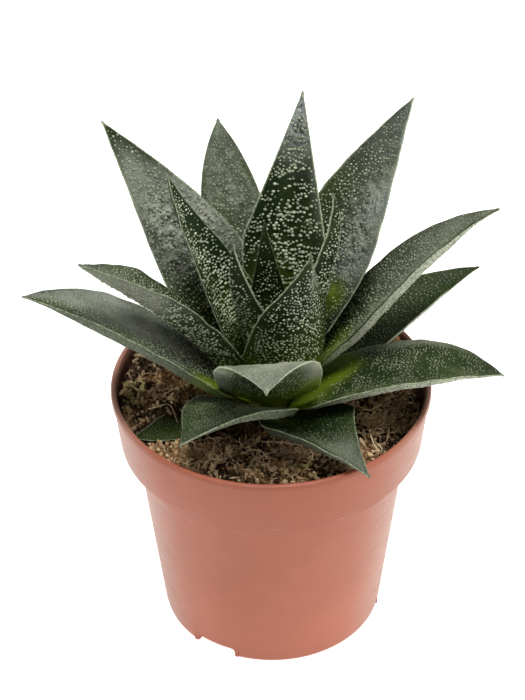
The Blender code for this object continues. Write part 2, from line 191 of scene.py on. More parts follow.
def block(name, near, far, width, low, high, turn, corner=0.0):
    """A box from the near to the far radius along a turn, with rounded long corners if asked."""
    shape = bmesh.new()
    bmesh.ops.create_cube(shape, size=1.0)
    bmesh.ops.scale(shape, vec=[s * MM for s in (far - near, width, high - low)], verts=shape.verts)
    middle = ((far + near) / 2, 0.0, (high + low) / 2)
    bmesh.ops.translate(shape, vec=[c * MM for c in middle], verts=shape.verts)
    if corner:
        half = (far - near) * MM / 2
        long_edges = [e for e in shape.edges if abs(e.verts[0].co.x - e.verts[1].co.x) > half]
        bmesh.ops.bevel(shape, geom=long_edges, offset=corner * MM, segments=4, profile=0.5, affect="EDGES")
    bmesh.ops.rotate(shape, matrix=Matrix.Rotation(math.radians(turn), 3, "Z"), verts=shape.verts)
    mesh = bpy.data.meshes.new(name)
    shape.to_mesh(mesh)
    shape.free()
    return hang(name, mesh)


def cut(target, tool, operation):
    boolean = target.modifiers.new(tool.name, "BOOLEAN")
    boolean.operation = operation
    boolean.solver = "EXACT"
    boolean.object = tool


def set_firm(obj):
    """Make what the modifiers show the object's own mesh, and drop them."""
    loose = obj.data
    graph = bpy.context.evaluated_depsgraph_get()
    obj.data = bpy.data.meshes.new_from_object(obj.evaluated_get(graph))
    obj.modifiers.clear()
    bpy.data.meshes.remove(loose)
    return obj


collar_foot = POT_HEIGHT - COLLAR_HEIGHT
lip_foot = POT_HEIGHT - LIP_HEIGHT
lip_inner = RIM_RADIUS - LIP_WIDTH
wall_lean = (WALL_TOP_RADIUS - BASE_RADIUS - 0.15) / (collar_foot - 3.4)
above_channel = BASE_RADIUS + 0.1 + (CHANNEL_HEIGHT - 1.0) * wall_lean
pot_profile = [
    (0.0, FLOOR_THICK),
    (BASE_RADIUS - WALL_THICK - 1.2, FLOOR_THICK),
    (BASE_RADIUS - WALL_THICK, FLOOR_THICK + 1.4),
    (WALL_TOP_RADIUS - WALL_THICK, collar_foot - 0.6),
    (COLLAR_FOOT_RADIUS - WALL_THICK - 0.6, collar_foot + 1.0),
    (COLLAR_FOOT_RADIUS - WALL_THICK, collar_foot + 1.8),
    (lip_inner - 0.1, lip_foot),
    (lip_inner, POT_HEIGHT - 0.9),
    (lip_inner + 0.25, POT_HEIGHT - 0.3),
    (lip_inner + 0.75, POT_HEIGHT),
    (RIM_RADIUS - 0.9, POT_HEIGHT),
    (RIM_RADIUS - 0.3, POT_HEIGHT - 0.3),
    (RIM_RADIUS, POT_HEIGHT - 1.0),
    (RIM_RADIUS, lip_foot + 0.7),
    (RIM_RADIUS - 0.12, lip_foot + 0.25),
    (RIM_RADIUS - 0.6, lip_foot),
    (COLLAR_FOOT_RADIUS + 0.06, collar_foot + 1.2),
    (COLLAR_FOOT_RADIUS - 0.15, collar_foot + 0.4),
    (COLLAR_FOOT_RADIUS - 0.7, collar_foot),
    (WALL_TOP_RADIUS + 1.2, collar_foot - 0.1),
    (WALL_TOP_RADIUS + 0.2, collar_foot - 0.5),
    (WALL_TOP_RADIUS - 0.05, collar_foot - 1.4),
    (above_channel, CHANNEL_HEIGHT + 1.0),
    (BASE_RADIUS + 0.1, 2.0),
    (BASE_RADIUS - 0.15, 0.8),
    (BASE_RADIUS - 0.6, 0.2),
    (BASE_RADIUS - 1.2, 0.0),
    (0.0, 0.0),
]
pot = turned("pot_terracotta", pot_profile, POT_SIDES)
moulds = []
for turn in CHANNEL_TURNS:
    cover = block(
        "channel_cover", CHANNEL_INNER_RADIUS - WALL_THICK, BASE_RADIUS - WALL_THICK * 0.5,
        CHANNEL_WIDTH + 2 * WALL_THICK, 0.8, CHANNEL_HEIGHT + WALL_THICK, turn)
    cut(pot, cover, "UNION")
    moulds.append(cover)
for turn in CHANNEL_TURNS:
    channel = block(
        "channel", CHANNEL_INNER_RADIUS, BASE_RADIUS + 6.0, CHANNEL_WIDTH, -4.0, CHANNEL_HEIGHT, turn,
        CHANNEL_CORNER)
    cut(pot, channel, "DIFFERENCE")
    drill_profile = [(0.0, 9.0), (DRAIN_HOLE_RADIUS, 9.0), (DRAIN_HOLE_RADIUS, 2.0), (0.0, 2.0)]
    drill = set_firm(turned("drain_drill", drill_profile, 28))
    at = Matrix.Rotation(math.radians(turn), 4, "Z") @ Matrix.Translation((DRAIN_HOLE_AT * MM, 0.0, 0.0))
    drill.data.transform(at)
    cut(pot, drill, "DIFFERENCE")
    moulds += [channel, drill]
set_firm(pot)
for mould in moulds:
    bpy.data.objects.remove(mould)
pot.data.shade_smooth()
pot.data.set_sharp_from_angle(angle=math.radians(35.0))

plastic, tree, shader, place = start_finish("terracotta_plastic", Specular_IOR_Level=0.25)
cloud = clouds(tree, place, 22.0, 4.0, 0.6)
rubbing = put(tree, "ShaderNodeMapping", {"Vector": place, "Scale": (1.0, 1.0, 7.0)})
scuffs = clouds(tree, rubbing, 90.0, 6.0, 0.7)
spot = put(tree, "ShaderNodeSeparateXYZ", {0: place}, take=None).outputs
height = spot[2]
# Painted shadow: a thin dark line under the collar's edge.
edge_shadow_band = stripe(tree, height, (80.8, 81.1), (81.5, 81.9))
# Painted highlight: broken pale dashes along the collar's edge.
edge_highlight_band = stripe(tree, height, (81.7, 82.0), (82.3, 82.6))
edge_highlight_band = times(tree, edge_highlight_band, ease(tree, clouds(tree, place, 70.0, 2.0), 0.5, 0.62, 0.0, 0.45))
flat_place = vector(tree, spot[0], spot[1])
from_axis = put(tree, "ShaderNodeVectorMath", {0: flat_place}, operation="LENGTH", take="Value")
sideways = reckon(tree, "DIVIDE", spot[0], from_axis)
inner_wall = reckon(tree, "MULTIPLY_ADD", height, INSIDE_LEAN, INSIDE_START * MM)
inside = reckon(tree, "SUBTRACT", inner_wall, from_axis)
# The inner wall above the soil darkens, partly from a soil stain and partly from painted shade.
stain_and_shade = times(tree, ease_mm(tree, inside, -0.6, 0.2), ease_mm(tree, height, 81.5, 82.5))
stain_and_shade = times(tree, stain_and_shade, ease_mm(tree, height, 100.5, 103.5, 1.0, 0.25))
stain_and_shade = times(tree, stain_and_shade, ease(tree, clouds(tree, place, 180.0, 5.0, 0.7), 0.25, 0.55, 0.55, 0.95))
coat(
    tree, shader, tint(tree, ease(tree, cloud, 0.35, 0.68), TERRACOTTA_DEEP, TERRACOTTA),
    (ease(tree, scuffs, 0.56, 0.78, 0.0, 0.3), TERRACOTTA_RUBBED),
    # Painted shade: darker up the wall towards the collar, and a step darker on the collar itself.
    (ease_mm(tree, height, 45.0, collar_foot, 0.0, 0.38), COLLAR_PAINTED_SHADE),
    (ease_mm(tree, height, 80.8, 81.6, 0.0, 0.22), COLLAR_PAINTED_SHADE),
    # Painted light: the wall is paler towards its foot, as if lit from the table.
    (ease_mm(tree, height, 0.0, 45.0, 0.55, 0.0), FOOT_PAINTED_LIGHT),
    (times(tree, edge_shadow_band, 0.5), COLLAR_EDGE_PAINTED_SHADOW),
    (edge_highlight_band, COLLAR_EDGE_PAINTED_HIGHLIGHT),
    # Painted sheen: paler, greyer colour towards the pot's left and right sides.
    (ease(tree, sideways, 0.6, 1.0, 0.0, 0.42), TERRACOTTA_PAINTED_SHEEN),
    (ease(tree, sideways, -1.0, -0.65, 0.42, 0.0), TERRACOTTA_PAINTED_SHEEN),
    # Painted shade on the lip.
    (ease_mm(tree, height, 101.5, 103.0, 0.0, 0.12), LIP_PAINTED_SHADE),
    (stain_and_shade, SOIL_STAIN_AND_SHADE))
tree.links.new(ease(tree, scuffs, 0.35, 0.7, 0.36, 0.5), shader.inputs["Roughness"])
grain(tree, shader, clouds(tree, place, 1500.0, 2.0), 0.15, 0.12)
grain(tree, shader, clouds(tree, rubbing, 60.0, 3.0), 0.015, 0.4)
pot.data.materials.clear()
pot.data.materials.append(plastic)
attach(pot, "root")
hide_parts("pot")

# Root crown
# The short fleshy stem in the middle of the rosette, almost hidden by the leaf feet it carries.
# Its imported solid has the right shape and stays, with a pale lime flesh that browns downwards.

FLESH_GREEN = (96, 112, 36)
FLESH_PALE = (140, 152, 70)
FLESH_BROWN = (70, 50, 34)

flesh, tree, shader, place = start_finish("crown_flesh", Roughness=0.55, Specular_IOR_Level=0.4)
height = put(tree, "ShaderNodeSeparateXYZ", {0: place}, take=2)
green_flesh = tint(tree, clouds(tree, place, 260.0, 4.0), FLESH_GREEN, FLESH_PALE)
coat(tree, shader, FLESH_BROWN, (ease_mm(tree, height, 91.0, 98.0), green_flesh))
grain(tree, shader, clouds(tree, place, 420.0, 4.0), 0.3, 0.3)
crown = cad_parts["crown"]
crown.data.materials.clear()
crown.data.materials.append(flesh)

# Leaves
# Thick fleshy leaves grown in one rosette, channelled inside and keeled outside, dark green with
# raised pale tubercles on both faces, a pale toothed margin and a horny point. Each one clasps the
# crown with a lime coloured foot.

CROWN_LEVEL = 94.0
MARGIN_THICK = 0.7
TOOTH_SPACING = 0.75
TOOTH_LOWEST = 0.14
TOOTH_RANGE = 0.3
LUMP_PACKING = 2.6
CREASE_STEP = (0.4, 0.0, 1.0)
LEAF_ROWS = 58
LEAF_CELLS = 20
BEAD_POINTS = 3
ROOT_SEED = 7
DARK_GREEN = (15, 31, 1)
MID_GREEN = (54, 66, 28)
WAX_AND_SHEEN_GREY = (152, 156, 138)
WAX_AND_SHEEN_BLUISH = (134, 141, 140)
LIME_FOOT = (98, 116, 22)
CREASE_PAINTED_SHADE = (40, 44, 30)
CREASE_PAINTED_HIGHLIGHT = (186, 190, 174)
FLANK_PAINTED_LIGHT = (182, 188, 166)
MARGIN_PALE = (184, 192, 160)
SPECK_PALE = (128, 136, 104)
HORN_PALE = (207, 216, 184)
HORN_LIME = (186, 204, 110)
HORN_DULL = (160, 172, 138)

# What the numbers of a leaf say
# turn and tip_turn: direction seen from above, 0 to +X and 90 to the back
# foot and rise: heights of foot and tip over the crown level; foot_r and reach: their radii
# lift and tip_lift: rise of the leaf's line at its two ends
# broad, base, neck and taper: where it is broadest, and how full it is on both sides of that
# roll and tip_roll: turn about its own line; fold: how far the margins stand up
# inner and outer: spacing, breadth and paleness of the tubercles on each face
# bands and rows: how far tubercles gather in rows, and how far apart the rows are
# dust: share of very small ones between the others; crinkle: unevenness of the faces
# edge: paleness of the margin; point: length of the horny point; lime: length of the lime foot
# flank: height of the flat side on the front edge, and strength of the painted light on it
# tone: from dark to mid green; sand: fine specks; bloom: wax with painted sheen all over;
# cool: bluish wax with painted bluish sheen; grey, creased, lime_and_bounce, dark and under: patches
# of wax with painted sheen, of creases with painted shade and highlight, of lime with some painted
# green bounce light, of skin bare of tubercles with painted shadow, and of wax with painted sheen on
# the outer face; each is its place along and across, its two reaches and its strength
LEAF_DEFAULTS = dict(
    foot_r=9.0, broad=0.4, taper=1.6, base=0.6, neck=0.5, roll=0.0, tip_roll=0.0, fold=20.0,
    thick=3.6, inner=(1.9, 0.9, 0.6), outer=(1.9, 0.9, 0.6), bands=0.35, rows=2.9, dust=0.45,
    crinkle=0.14, edge=0.7, point=1.2, lime=16.0, flank=(0.0, 0.0), tone=0.5, sand=0.5, bloom=0.0,
    cool=0.15, grey=(), creased=(), lime_and_bounce=(), dark=(), under=(),
)
LEAVES = {
    "leaf_back_left": dict(
        turn=137, tip_turn=140, foot=14.3, foot_r=9.5, lift=55, reach=80, rise=93, tip_lift=44,
        width=37, broad=0.39, taper=1.3, roll=-13, tip_roll=-8, fold=18,
        inner=(1.35, 1.05, 0.75), outer=(2.3, 0.9, 0.6), bands=0.45, crinkle=0.3, edge=0.85, tone=0.35,
        sand=0.2, cool=0.3, grey=((0.65, 0.15, 0.22, 1.3, 0.8), (0.58, -0.75, 0.2, 0.45, 1.0)),
        creased=((0.53, 0.0, 0.2, 1.1, 1.1),), lime_and_bounce=((0.15, 0.0, 0.26, 1.4, 0.42),), dust=0.5),
    "leaf_back_middle": dict(
        turn=107, tip_turn=102, foot=6.4, lift=47, reach=94, rise=68, tip_lift=22, width=28,
        broad=0.39, taper=2.3, roll=4, tip_roll=3, fold=14,
        inner=(1.3, 0.8, 0.5), outer=(2.3, 0.9, 0.6), bands=0.4, crinkle=0.26, edge=0.45, tone=0.6,
        sand=0.3, cool=0.45, grey=((0.84, 0.0, 0.24, 1.4, 0.3),),
        creased=((0.75, -0.1, 0.25, 1.2, 0.55),), dust=0.5),
    "leaf_back_centre": dict(
        turn=77, tip_turn=75, foot=19, foot_r=7, lift=69, reach=48, rise=108, tip_lift=65, width=32,
        broad=0.44, taper=1.0, roll=2, tip_roll=12,
        inner=(1.08, 1.12, 0.8), outer=(2.3, 0.9, 0.6), bands=0.8, edge=0.9, tone=0.22, sand=0.1,
        cool=0.9, grey=((0.93, 0.0, 0.16, 1.6, 1.1), (0.72, -0.95, 0.22, 0.22, 0.25)),
        creased=((0.9, 0.0, 0.12, 1.4, 1.0),), lime_and_bounce=((0.25, 0.0, 0.25, 1.5, 0.32),), rows=2.5,
        dust=0.12),
    "leaf_back_right": dict(
        turn=44, tip_turn=48, foot=15.4, foot_r=9.6, lift=53, reach=80, rise=97, tip_lift=38, width=38,
        broad=0.44, taper=1.55, base=0.5, neck=0.4, roll=5, tip_roll=-10, fold=18,
        inner=(1.15, 0.85, 0.85), outer=(2.3, 0.9, 0.6), crinkle=0.2, edge=0.85, tone=0.15,
        sand=0.35, cool=0.85,
        grey=((0.52, -0.5, 0.25, 0.6, 0.95), (0.75, -0.95, 0.25, 0.3, 0.7), (0.85, 0.0, 0.2, 1.2, 0.3)),
        creased=((0.5, -0.25, 0.3, 0.6, 0.9),), lime_and_bounce=((0.27, -0.4, 0.09, 0.5, 0.8),), dust=0.5),
    "leaf_inner_left": dict(
        turn=153, tip_turn=152, foot=20.6, foot_r=6.4, lift=69, reach=41, rise=90, tip_lift=76,
        width=23, broad=0.24, taper=1.75, roll=-21, tip_roll=6,
        inner=(1.0, 1.0, 0.95), outer=(1.9, 0.9, 0.7), bands=0.65, edge=0.65, tone=0.25, sand=0.1,
        lime_and_bounce=((0.1, 0.0, 0.35, 2.0, 0.4),), rows=2.3, dust=0.2),
    "leaf_right": dict(
        turn=12, tip_turn=11, foot=11.2, lift=38, reach=84, rise=77, tip_lift=19, width=25, broad=0.41,
        taper=1.95, roll=-4, tip_roll=-7,
        inner=(1.05, 0.82, 0.62), outer=(1.6, 0.8, 0.6), bloom=0.05, edge=0.12, tone=0.6, sand=0.85,
        lime=22, flank=(2.6, 1.0), grey=((0.75, 0.2, 0.28, 1.2, 0.35),),
        lime_and_bounce=((0.18, -0.2, 0.14, 1.1, 0.7),), dust=0.5),
    "leaf_right_behind": dict(
        turn=31, tip_turn=28, foot=2.2, lift=24, reach=90, rise=32, tip_lift=7, width=25, broad=0.35,
        taper=1.7, roll=8, tip_roll=8,
        inner=(1.2, 0.6, 0.5), outer=(1.9, 0.9, 0.5), edge=0.35, tone=0.6, sand=0.35, flank=(1.7, 0.8),
        dust=0.4),
    "leaf_right_low": dict(
        turn=342, tip_turn=350, foot=6.2, lift=37, reach=86, rise=25, tip_lift=-29, width=31,
        broad=0.5, taper=2.3, base=0.9, neck=0.68, roll=3, tip_roll=-6, fold=4,
        inner=(1.0, 0.68, 0.5), outer=(1.7, 0.8, 0.6), bands=0.8, tone=0.45, sand=0.45,
        lime=20, flank=(1.9, 0.9), grey=((0.55, 0.95, 0.3, 0.16, 0.5),),
        lime_and_bounce=((0.13, 0.5, 0.2, 0.8, 1.4),), rows=5.0, dust=0.5),
    "leaf_front_right": dict(
        turn=294, tip_turn=300, foot=0.8, lift=30, reach=68, rise=15, tip_lift=-6, width=38,
        broad=0.41, taper=0.85, base=0.5, neck=0.42, roll=-1, tip_roll=-13, fold=16,
        inner=(1.0, 0.52, 0.3), outer=(1.9, 0.8, 0.5), edge=0.55, tone=0.15, sand=0.6, lime=14,
        flank=(1.8, 0.2), grey=((0.85, 0.0, 0.22, 1.2, 0.35),), dust=0.5,
        dark=((0.15, 0.0, 0.35, 1.5, 0.95), (0.4, -0.9, 0.5, 0.3, 0.8))),
    "leaf_front_left": dict(
        turn=251, tip_turn=235, foot=4.2, lift=48, reach=57, rise=20, tip_lift=-44, width=40,
        broad=0.3, taper=2.1, base=0.4, neck=0.42, roll=1, tip_roll=14, fold=4,
        inner=(1.0, 0.55, 0.32), outer=(1.4, 0.7, 0.6), edge=0.6, tone=0.45, sand=0.8, lime=10,
        flank=(2.4, 0.3), dust=0.9),
    "leaf_left": dict(
        turn=195, tip_turn=189, foot=7.1, lift=45, reach=89, rise=62, tip_lift=5, width=29, taper=2.9,
        base=0.8, roll=-5, tip_roll=2, fold=5,
        inner=(1.0, 0.8, 0.85), outer=(1.6, 0.8, 0.6), bloom=0.04, edge=0.55, tone=0.3, sand=0.8,
        cool=0.5, flank=(2.8, 0.2),
        grey=((0.66, -0.35, 0.3, 0.75, 1.1), (0.42, -0.1, 0.12, 0.3, 0.6)),
        lime_and_bounce=((0.17, 0.95, 0.16, 0.5, 1.2),), dust=0.5),
    "leaf_left_upper": dict(
        turn=196, tip_turn=199, foot=14, foot_r=10.4, lift=62, reach=70, rise=82, tip_lift=42,
        width=28, broad=0.65, taper=1.2, roll=16, tip_roll=14, fold=27,
        inner=(1.0, 0.8, 0.8), outer=(1.05, 1.05, 1.2), bands=0.6, edge=0.5, tone=0.3,
        cool=0.0, lime=18, grey=((0.85, 0.0, 0.3, 1.5, 0.28),), under=((0.85, 0.0, 0.3, 1.5, 0.65),),
        rows=2.4, dust=0.5),
    "leaf_front": dict(
        turn=267, tip_turn=268, foot=10.8, foot_r=10.2, lift=60, reach=55, rise=50, tip_lift=-50,
        width=38, broad=0.38, taper=2.0, base=0.9, neck=0.32, roll=2, tip_roll=7, fold=1,
        inner=(0.9, 0.6, 0.4), outer=(0.95, 0.6, 0.5), edge=0.8, tone=0.7, sand=0.9, cool=0.1, lime=20,
        grey=((0.8, 0.0, 0.4, 2.0, 0.7),), lime_and_bounce=((0.14, 1.0, 0.26, 0.6, 1.0),),
        under=((0.55, 1.0, 0.5, 0.28, 0.9), (0.55, -1.0, 0.5, 0.26, 0.8), (0.95, 0.0, 0.12, 1.0, 0.7))),
    "leaf_heart_right": dict(
        turn=354, tip_turn=14, foot=20, foot_r=6.6, lift=74, reach=23, rise=91, tip_lift=108, width=21,
        broad=0.35, taper=1.25, roll=-34, tip_roll=-22, fold=12,
        inner=(0.95, 0.75, 0.85), outer=(1.0, 0.88, 0.92), bands=0.45, edge=0.8, tone=0.1, sand=0.1,
        lime_and_bounce=((0.1, 0.0, 0.5, 2.0, 0.4),), rows=2.2, dust=0.2),
    "leaf_heart_front": dict(
        turn=291, tip_turn=328, foot=18, foot_r=8, lift=66, reach=16.5, rise=73.5, tip_lift=79,
        width=31, broad=0.58, taper=1.45, base=0.95, roll=-17, tip_roll=29, fold=14,
        inner=(1.2, 0.8, 0.8), outer=(1.0, 0.88, 0.92), bands=0.5, edge=0.6, tone=0.08, sand=0.05,
        lime_and_bounce=((0.1, 0.0, 0.5, 2.0, 0.4),), under=((0.9, 0.5, 0.15, 0.5, 0.4),), point=3.2, rows=2.0,
        dust=0.15),
    "leaf_heart_back": dict(
        turn=92, tip_turn=102, foot=24, foot_r=3, lift=83, reach=9, rise=76, tip_lift=83, width=17,
        broad=0.31, taper=1.0,
        inner=(1.1, 0.85, 0.9), outer=(1.5, 0.8, 0.9), bands=0.6, edge=0.3, tone=0.1, sand=0.05,
        lime_and_bounce=((0.1, 0.0, 0.5, 2.0, 0.35),), rows=2.4, dust=0.1),
    "leaf_heart_left": dict(
        turn=215, tip_turn=211, foot=22, foot_r=4, lift=77, reach=15, rise=78, tip_lift=92, width=19,
        broad=0.33, taper=1.3, roll=18,
        inner=(0.95, 0.8, 0.9), outer=(1.0, 0.9, 0.92), bands=0.5, edge=0.8, tone=0.0, sand=0.1,
        lime_and_bounce=((0.1, 0.0, 0.6, 2.0, 0.45),), point=2.0, rows=2.2, dust=0.2),
    "leaf_small_low": dict(
        turn=203, tip_turn=205, foot=1, lift=10, reach=56, rise=4, tip_lift=17, width=17, broad=0.36,
        taper=1.8, tip_roll=-22,
        inner=(1.0, 0.5, 0.4), outer=(1.4, 0.75, 0.5), edge=0.6, tone=0.9, sand=0.4, lime=6,
        lime_and_bounce=((0.6, 0.0, 0.6, 1.5, 0.3),), dust=0.5),
    "leaf_hidden_back": dict(
        turn=87, tip_turn=86, foot=0.8, lift=22, reach=78, rise=26, tip_lift=5, width=24, taper=1.8),
    "leaf_hidden_back_right": dict(
        turn=57, tip_turn=58, foot=0, lift=11, reach=56, rise=12, tip_lift=0, width=14, taper=1.8,
        base=0.4),
    "leaf_hidden_back_left": dict(
        turn=133, tip_turn=124, foot=0.9, lift=20, reach=66, rise=14, tip_lift=2, width=20, taper=1.8),
}


def smooth_step(x):
    x = np.clip(x, 0.0, 1.0)
    return x * x * (3.0 - 2.0 * x)


def heading(turn, lift):
    a, b = math.radians(turn), math.radians(lift)
    return np.array([math.cos(a) * math.cos(b), math.sin(a) * math.cos(b), math.sin(b)])


def leaf_line(leaf, t):
    """Points and unit directions along the leaf's middle line, foot to tip."""
    a, b = math.radians(leaf["turn"]), math.radians(leaf["tip_turn"])
    foot_level, tip_level = CROWN_LEVEL + leaf["foot"], CROWN_LEVEL + leaf["rise"]
    foot = np.array([leaf["foot_r"] * math.cos(a), leaf["foot_r"] * math.sin(a), foot_level])
    tip = np.array([leaf["reach"] * math.cos(b), leaf["reach"] * math.sin(b), tip_level])
    chord = tip - foot
    length = np.linalg.norm(chord)
    end_turn = leaf["turn"]
    if math.hypot(chord[0], chord[1]) > 8.0:
        end_turn = 2.0 * math.degrees(math.atan2(chord[1], chord[0])) - leaf["turn"]
    near_foot = foot + heading(leaf["turn"], leaf["lift"]) * length * 0.36
    near_tip = tip - heading(end_turn, leaf["tip_lift"]) * length * 0.33
    s = t[:, None]
    line = (1 - s) ** 3 * foot + 3 * (1 - s) ** 2 * s * near_foot
    line = line + 3 * (1 - s) * s ** 2 * near_tip + s ** 3 * tip
    along = (1 - s) ** 2 * (near_foot - foot) + 2 * (1 - s) * s * (near_tip - near_foot)
    along = along + s ** 2 * (tip - near_tip)
    return line, along / np.linalg.norm(along, axis=1)[:, None]


def leaf_form(leaf, t):
    """Along the leaf: its line, its directions across and up, its half width and its thickness."""
    line, along = leaf_line(leaf, t)
    a = math.radians(leaf["turn"])
    side = np.array([-math.sin(a), math.cos(a), 0.0])
    sides = []
    for step in along:
        side = side - step * (side @ step)
        side = side / np.linalg.norm(side)
        sides.append(side)
    sides = np.array(sides)
    normals = np.cross(along, sides)
    roll = np.radians(leaf["roll"] + (leaf["tip_roll"] - leaf["roll"]) * smooth_step(t))
    c, s = np.cos(roll)[:, None], np.sin(roll)[:, None]
    across = sides * c + normals * s
    up = normals * c - sides * s
    rising = leaf["base"] + (1.0 - leaf["base"]) * smooth_step(t / leaf["broad"])
    falling = 1.0 - np.clip((t - leaf["broad"]) / (1.0 - leaf["broad"]), 0.0, 1.0) ** leaf["taper"]
    share = np.where(t < leaf["broad"], rising, falling)
    share = share * (leaf["neck"] + (1.0 - leaf["neck"]) * smooth_step(t / 0.16))
    half = np.maximum(leaf["width"] * 0.5 * share, 0.35)
    slim = np.minimum(1.0, (half / (0.18 * leaf["width"])) ** 0.7)
    thick = leaf["thick"] * (1.0 - 0.75 * t ** 1.2) * slim
    return line, along, across, up, half, thick


def uneven(first, second, seed):
    """Soft random unevenness, about -0.5 to 0.5, over two lengths."""
    flat = [noise.noise(Vector((a, b, seed))) for a, b in zip(np.ravel(first), np.ravel(second))]
    return np.array(flat).reshape(np.shape(first))


def patches(spots, t, u):
    """The strongest of some soft round patches, each with its place, its reaches and its strength."""
    share = np.zeros(np.broadcast(t, u).shape)
    for at_t, at_u, reach_t, reach_u, strength in spots:
        away = ((t - at_t) / reach_t) ** 2 + ((u - at_u) / reach_u) ** 2
        share = np.maximum(share, strength * np.exp(-away ** 1.5))
    return share


def leaf_skin(name, leaf, seed):
    """One closed leaf skin with a rounded bead along each margin and a horny point at the tip."""
    t = 1.0 - (1.0 - np.linspace(0.0, 1.0, LEAF_ROWS + 1)) ** 1.15
    bend = np.linspace(-1.0, 1.0, LEAF_CELLS + 1)
    u = 0.7 * bend + 0.3 * np.sin(bend * math.pi / 2)
    line, along, across, up, half, thick = leaf_form(leaf, t)
    far = np.concatenate([[0.0], np.cumsum(np.linalg.norm(np.diff(line, axis=0), axis=1))])
    length = far[-1]
    rise = math.tan(math.radians(leaf["fold"]))
    level = 1.0 / math.sqrt(1.0 + rise * rise)
    down_leaf, over_leaf = np.meshgrid(far, u, indexing="ij")
    wide = half[:, None] * over_leaf
    out = np.abs(over_leaf)
    fleshy = (1.0 - out ** 4) * smooth_step(far / 12.0)[:, None]
    fleshy = fleshy * smooth_step((length - far) / 10.0)[:, None]
    faces = []
    for face in (0, 1):
        rough = uneven(down_leaf / 5.2, wide / 4.0, seed + 10.3 * face)
        rough = rough + 0.6 * uneven(down_leaf / 2.4, wide / 2.2, seed + 10.3 * face + 5.1)
        faces.append(rough * leaf["crinkle"] * 2.0 * fleshy)
    still = np.zeros_like(far)
    wave = uneven(far / 7.0, still, seed + 3.3)[:, None] * 0.4 * out ** 3
    wave = wave + uneven(far / 7.0, still, seed + 8.8)[:, None] * 0.4 * np.sign(over_leaf) * out ** 3
    wave = wave * smooth_step((length - far) / 8.0)[:, None] * smooth_step(far / 15.0)[:, None]
    lifted = half[:, None] * rise * level * out ** 1.5 + wave
    upper = line[:, None] + across[:, None] * (wide * level)[..., None] + up[:, None] * lifted[..., None]
    front_side = -1.0 if math.cos(math.radians(leaf["turn"])) > 0.0 else 1.0
    flank = np.clip(over_leaf * front_side / 0.92, 0.0, 1.0) ** 2.5
    flank[:, -1 if front_side > 0.0 else 0] = 0.0
    flank = leaf["flank"][0] * flank
    flank = flank * smooth_step(far / 30.0)[:, None] * smooth_step((length - far) / 30.0)[:, None]
    depth = thick[:, None] * (1.0 - out ** 1.6) + MARGIN_THICK + flank
    lower = upper - up[:, None] * (depth + faces[1])[..., None]
    upper = upper + up[:, None] * faces[0][..., None]
    edges = []
    for side, column in ((1.0, -1), (-1.0, 0)):
        outward = side * across * level + up * rise * level * 1.5
        outward = outward / np.linalg.norm(outward, axis=1)[:, None]
        middle = (upper[:, column] + lower[:, column]) / 2
        stand = (upper[:, column] - lower[:, column]) / 2
        bead = []
        for k in range(BEAD_POINTS):
            a = math.pi * (k + 1) / (BEAD_POINTS + 1)
            bead.append(middle + outward * math.sin(a) * MARGIN_THICK * 0.55 + stand * math.cos(a))
        edges.append((np.stack(bead, axis=1), outward))
    right, left = edges[0][0], edges[1][0][:, ::-1]
    loops = np.concatenate([upper, right, lower[:, ::-1], left], axis=1)
    count = loops.shape[1]
    place = np.concatenate([u, np.ones(BEAD_POINTS), u[::-1], -np.ones(BEAD_POINTS)])
    face = np.repeat((0.0, 0.5, 1.0, 0.5), (LEAF_CELLS + 1, BEAD_POINTS, LEAF_CELLS + 1, BEAD_POINTS))
    on_bead, horny, band = np.zeros((3, count))
    on_bead[[LEAF_CELLS + 1, -1]] = 1.0
    for first, step in ((LEAF_CELLS, 1), (count, -1)):
        horny[(first + step * np.arange(5)) % count] = (0.6, 1.0, 1.0, 0.6, 0.15)
    steps = np.arange(4) if front_side > 0.0 else LEAF_CELLS - np.arange(4)
    # The band on the flat side carries painted light.
    band[LEAF_CELLS + BEAD_POINTS + 1 + steps] = np.array((0.8, 1.0, 0.7, 0.2)) * leaf["flank"][1]
    rows = [loops[i] for i in range(LEAF_ROWS + 1)]
    tip = rows[-1].mean(axis=0)
    for share in (0.35, 0.65, 0.87):
        rows.append(tip + (loops[-1] - tip) * (1.0 - share) ** 0.8 + along[-1] * leaf["point"] * share)
    points = [p for row in rows for p in row]
    foot_middle = len(points)
    points.append(rows[0].mean(axis=0))
    points.append(tip + along[-1] * leaf["point"])
    quads = []
    last = len(rows) - 1
    for k in range(count):
        n = (k + 1) % count
        for i in range(last):
            quads.append((i * count + k, (i + 1) * count + k, (i + 1) * count + n, i * count + n))
        quads.append((k, n, foot_middle))
        quads.append((last * count + n, last * count + k, foot_middle + 1))
    mesh = bpy.data.meshes.new(name)
    mesh.from_pydata([tuple(c * MM for c in p) for p in points], [], quads)
    mesh.shade_smooth()

    reach = np.concatenate([far, np.full(len(rows) - len(far), length)])[:, None]
    halves = np.concatenate([half, np.full(len(rows) - len(half), half[-1])])[:, None]
    down, sideways = reach + 0 * place, halves * place
    spread = np.abs(place)[None, :]
    from_edge = halves * (1.0 - spread)
    share_along = reach / length
    across_leaf = place[None, :]
    inner_face = (1.0 - face)[None, :]
    rim = horny[None, :] * (0.3 + 0.7 * smooth_step(reach / 20.0))
    rim = np.maximum(rim, 0.6 * smooth_step((reach - length + 3.0) / 2.5)) * leaf["edge"]
    cover = smooth_step((reach - 0.3 * leaf["lime"]) / 10.0) * smooth_step((length - reach) / 4.0)
    cover = cover * smooth_step((from_edge - 0.3) / 0.8)
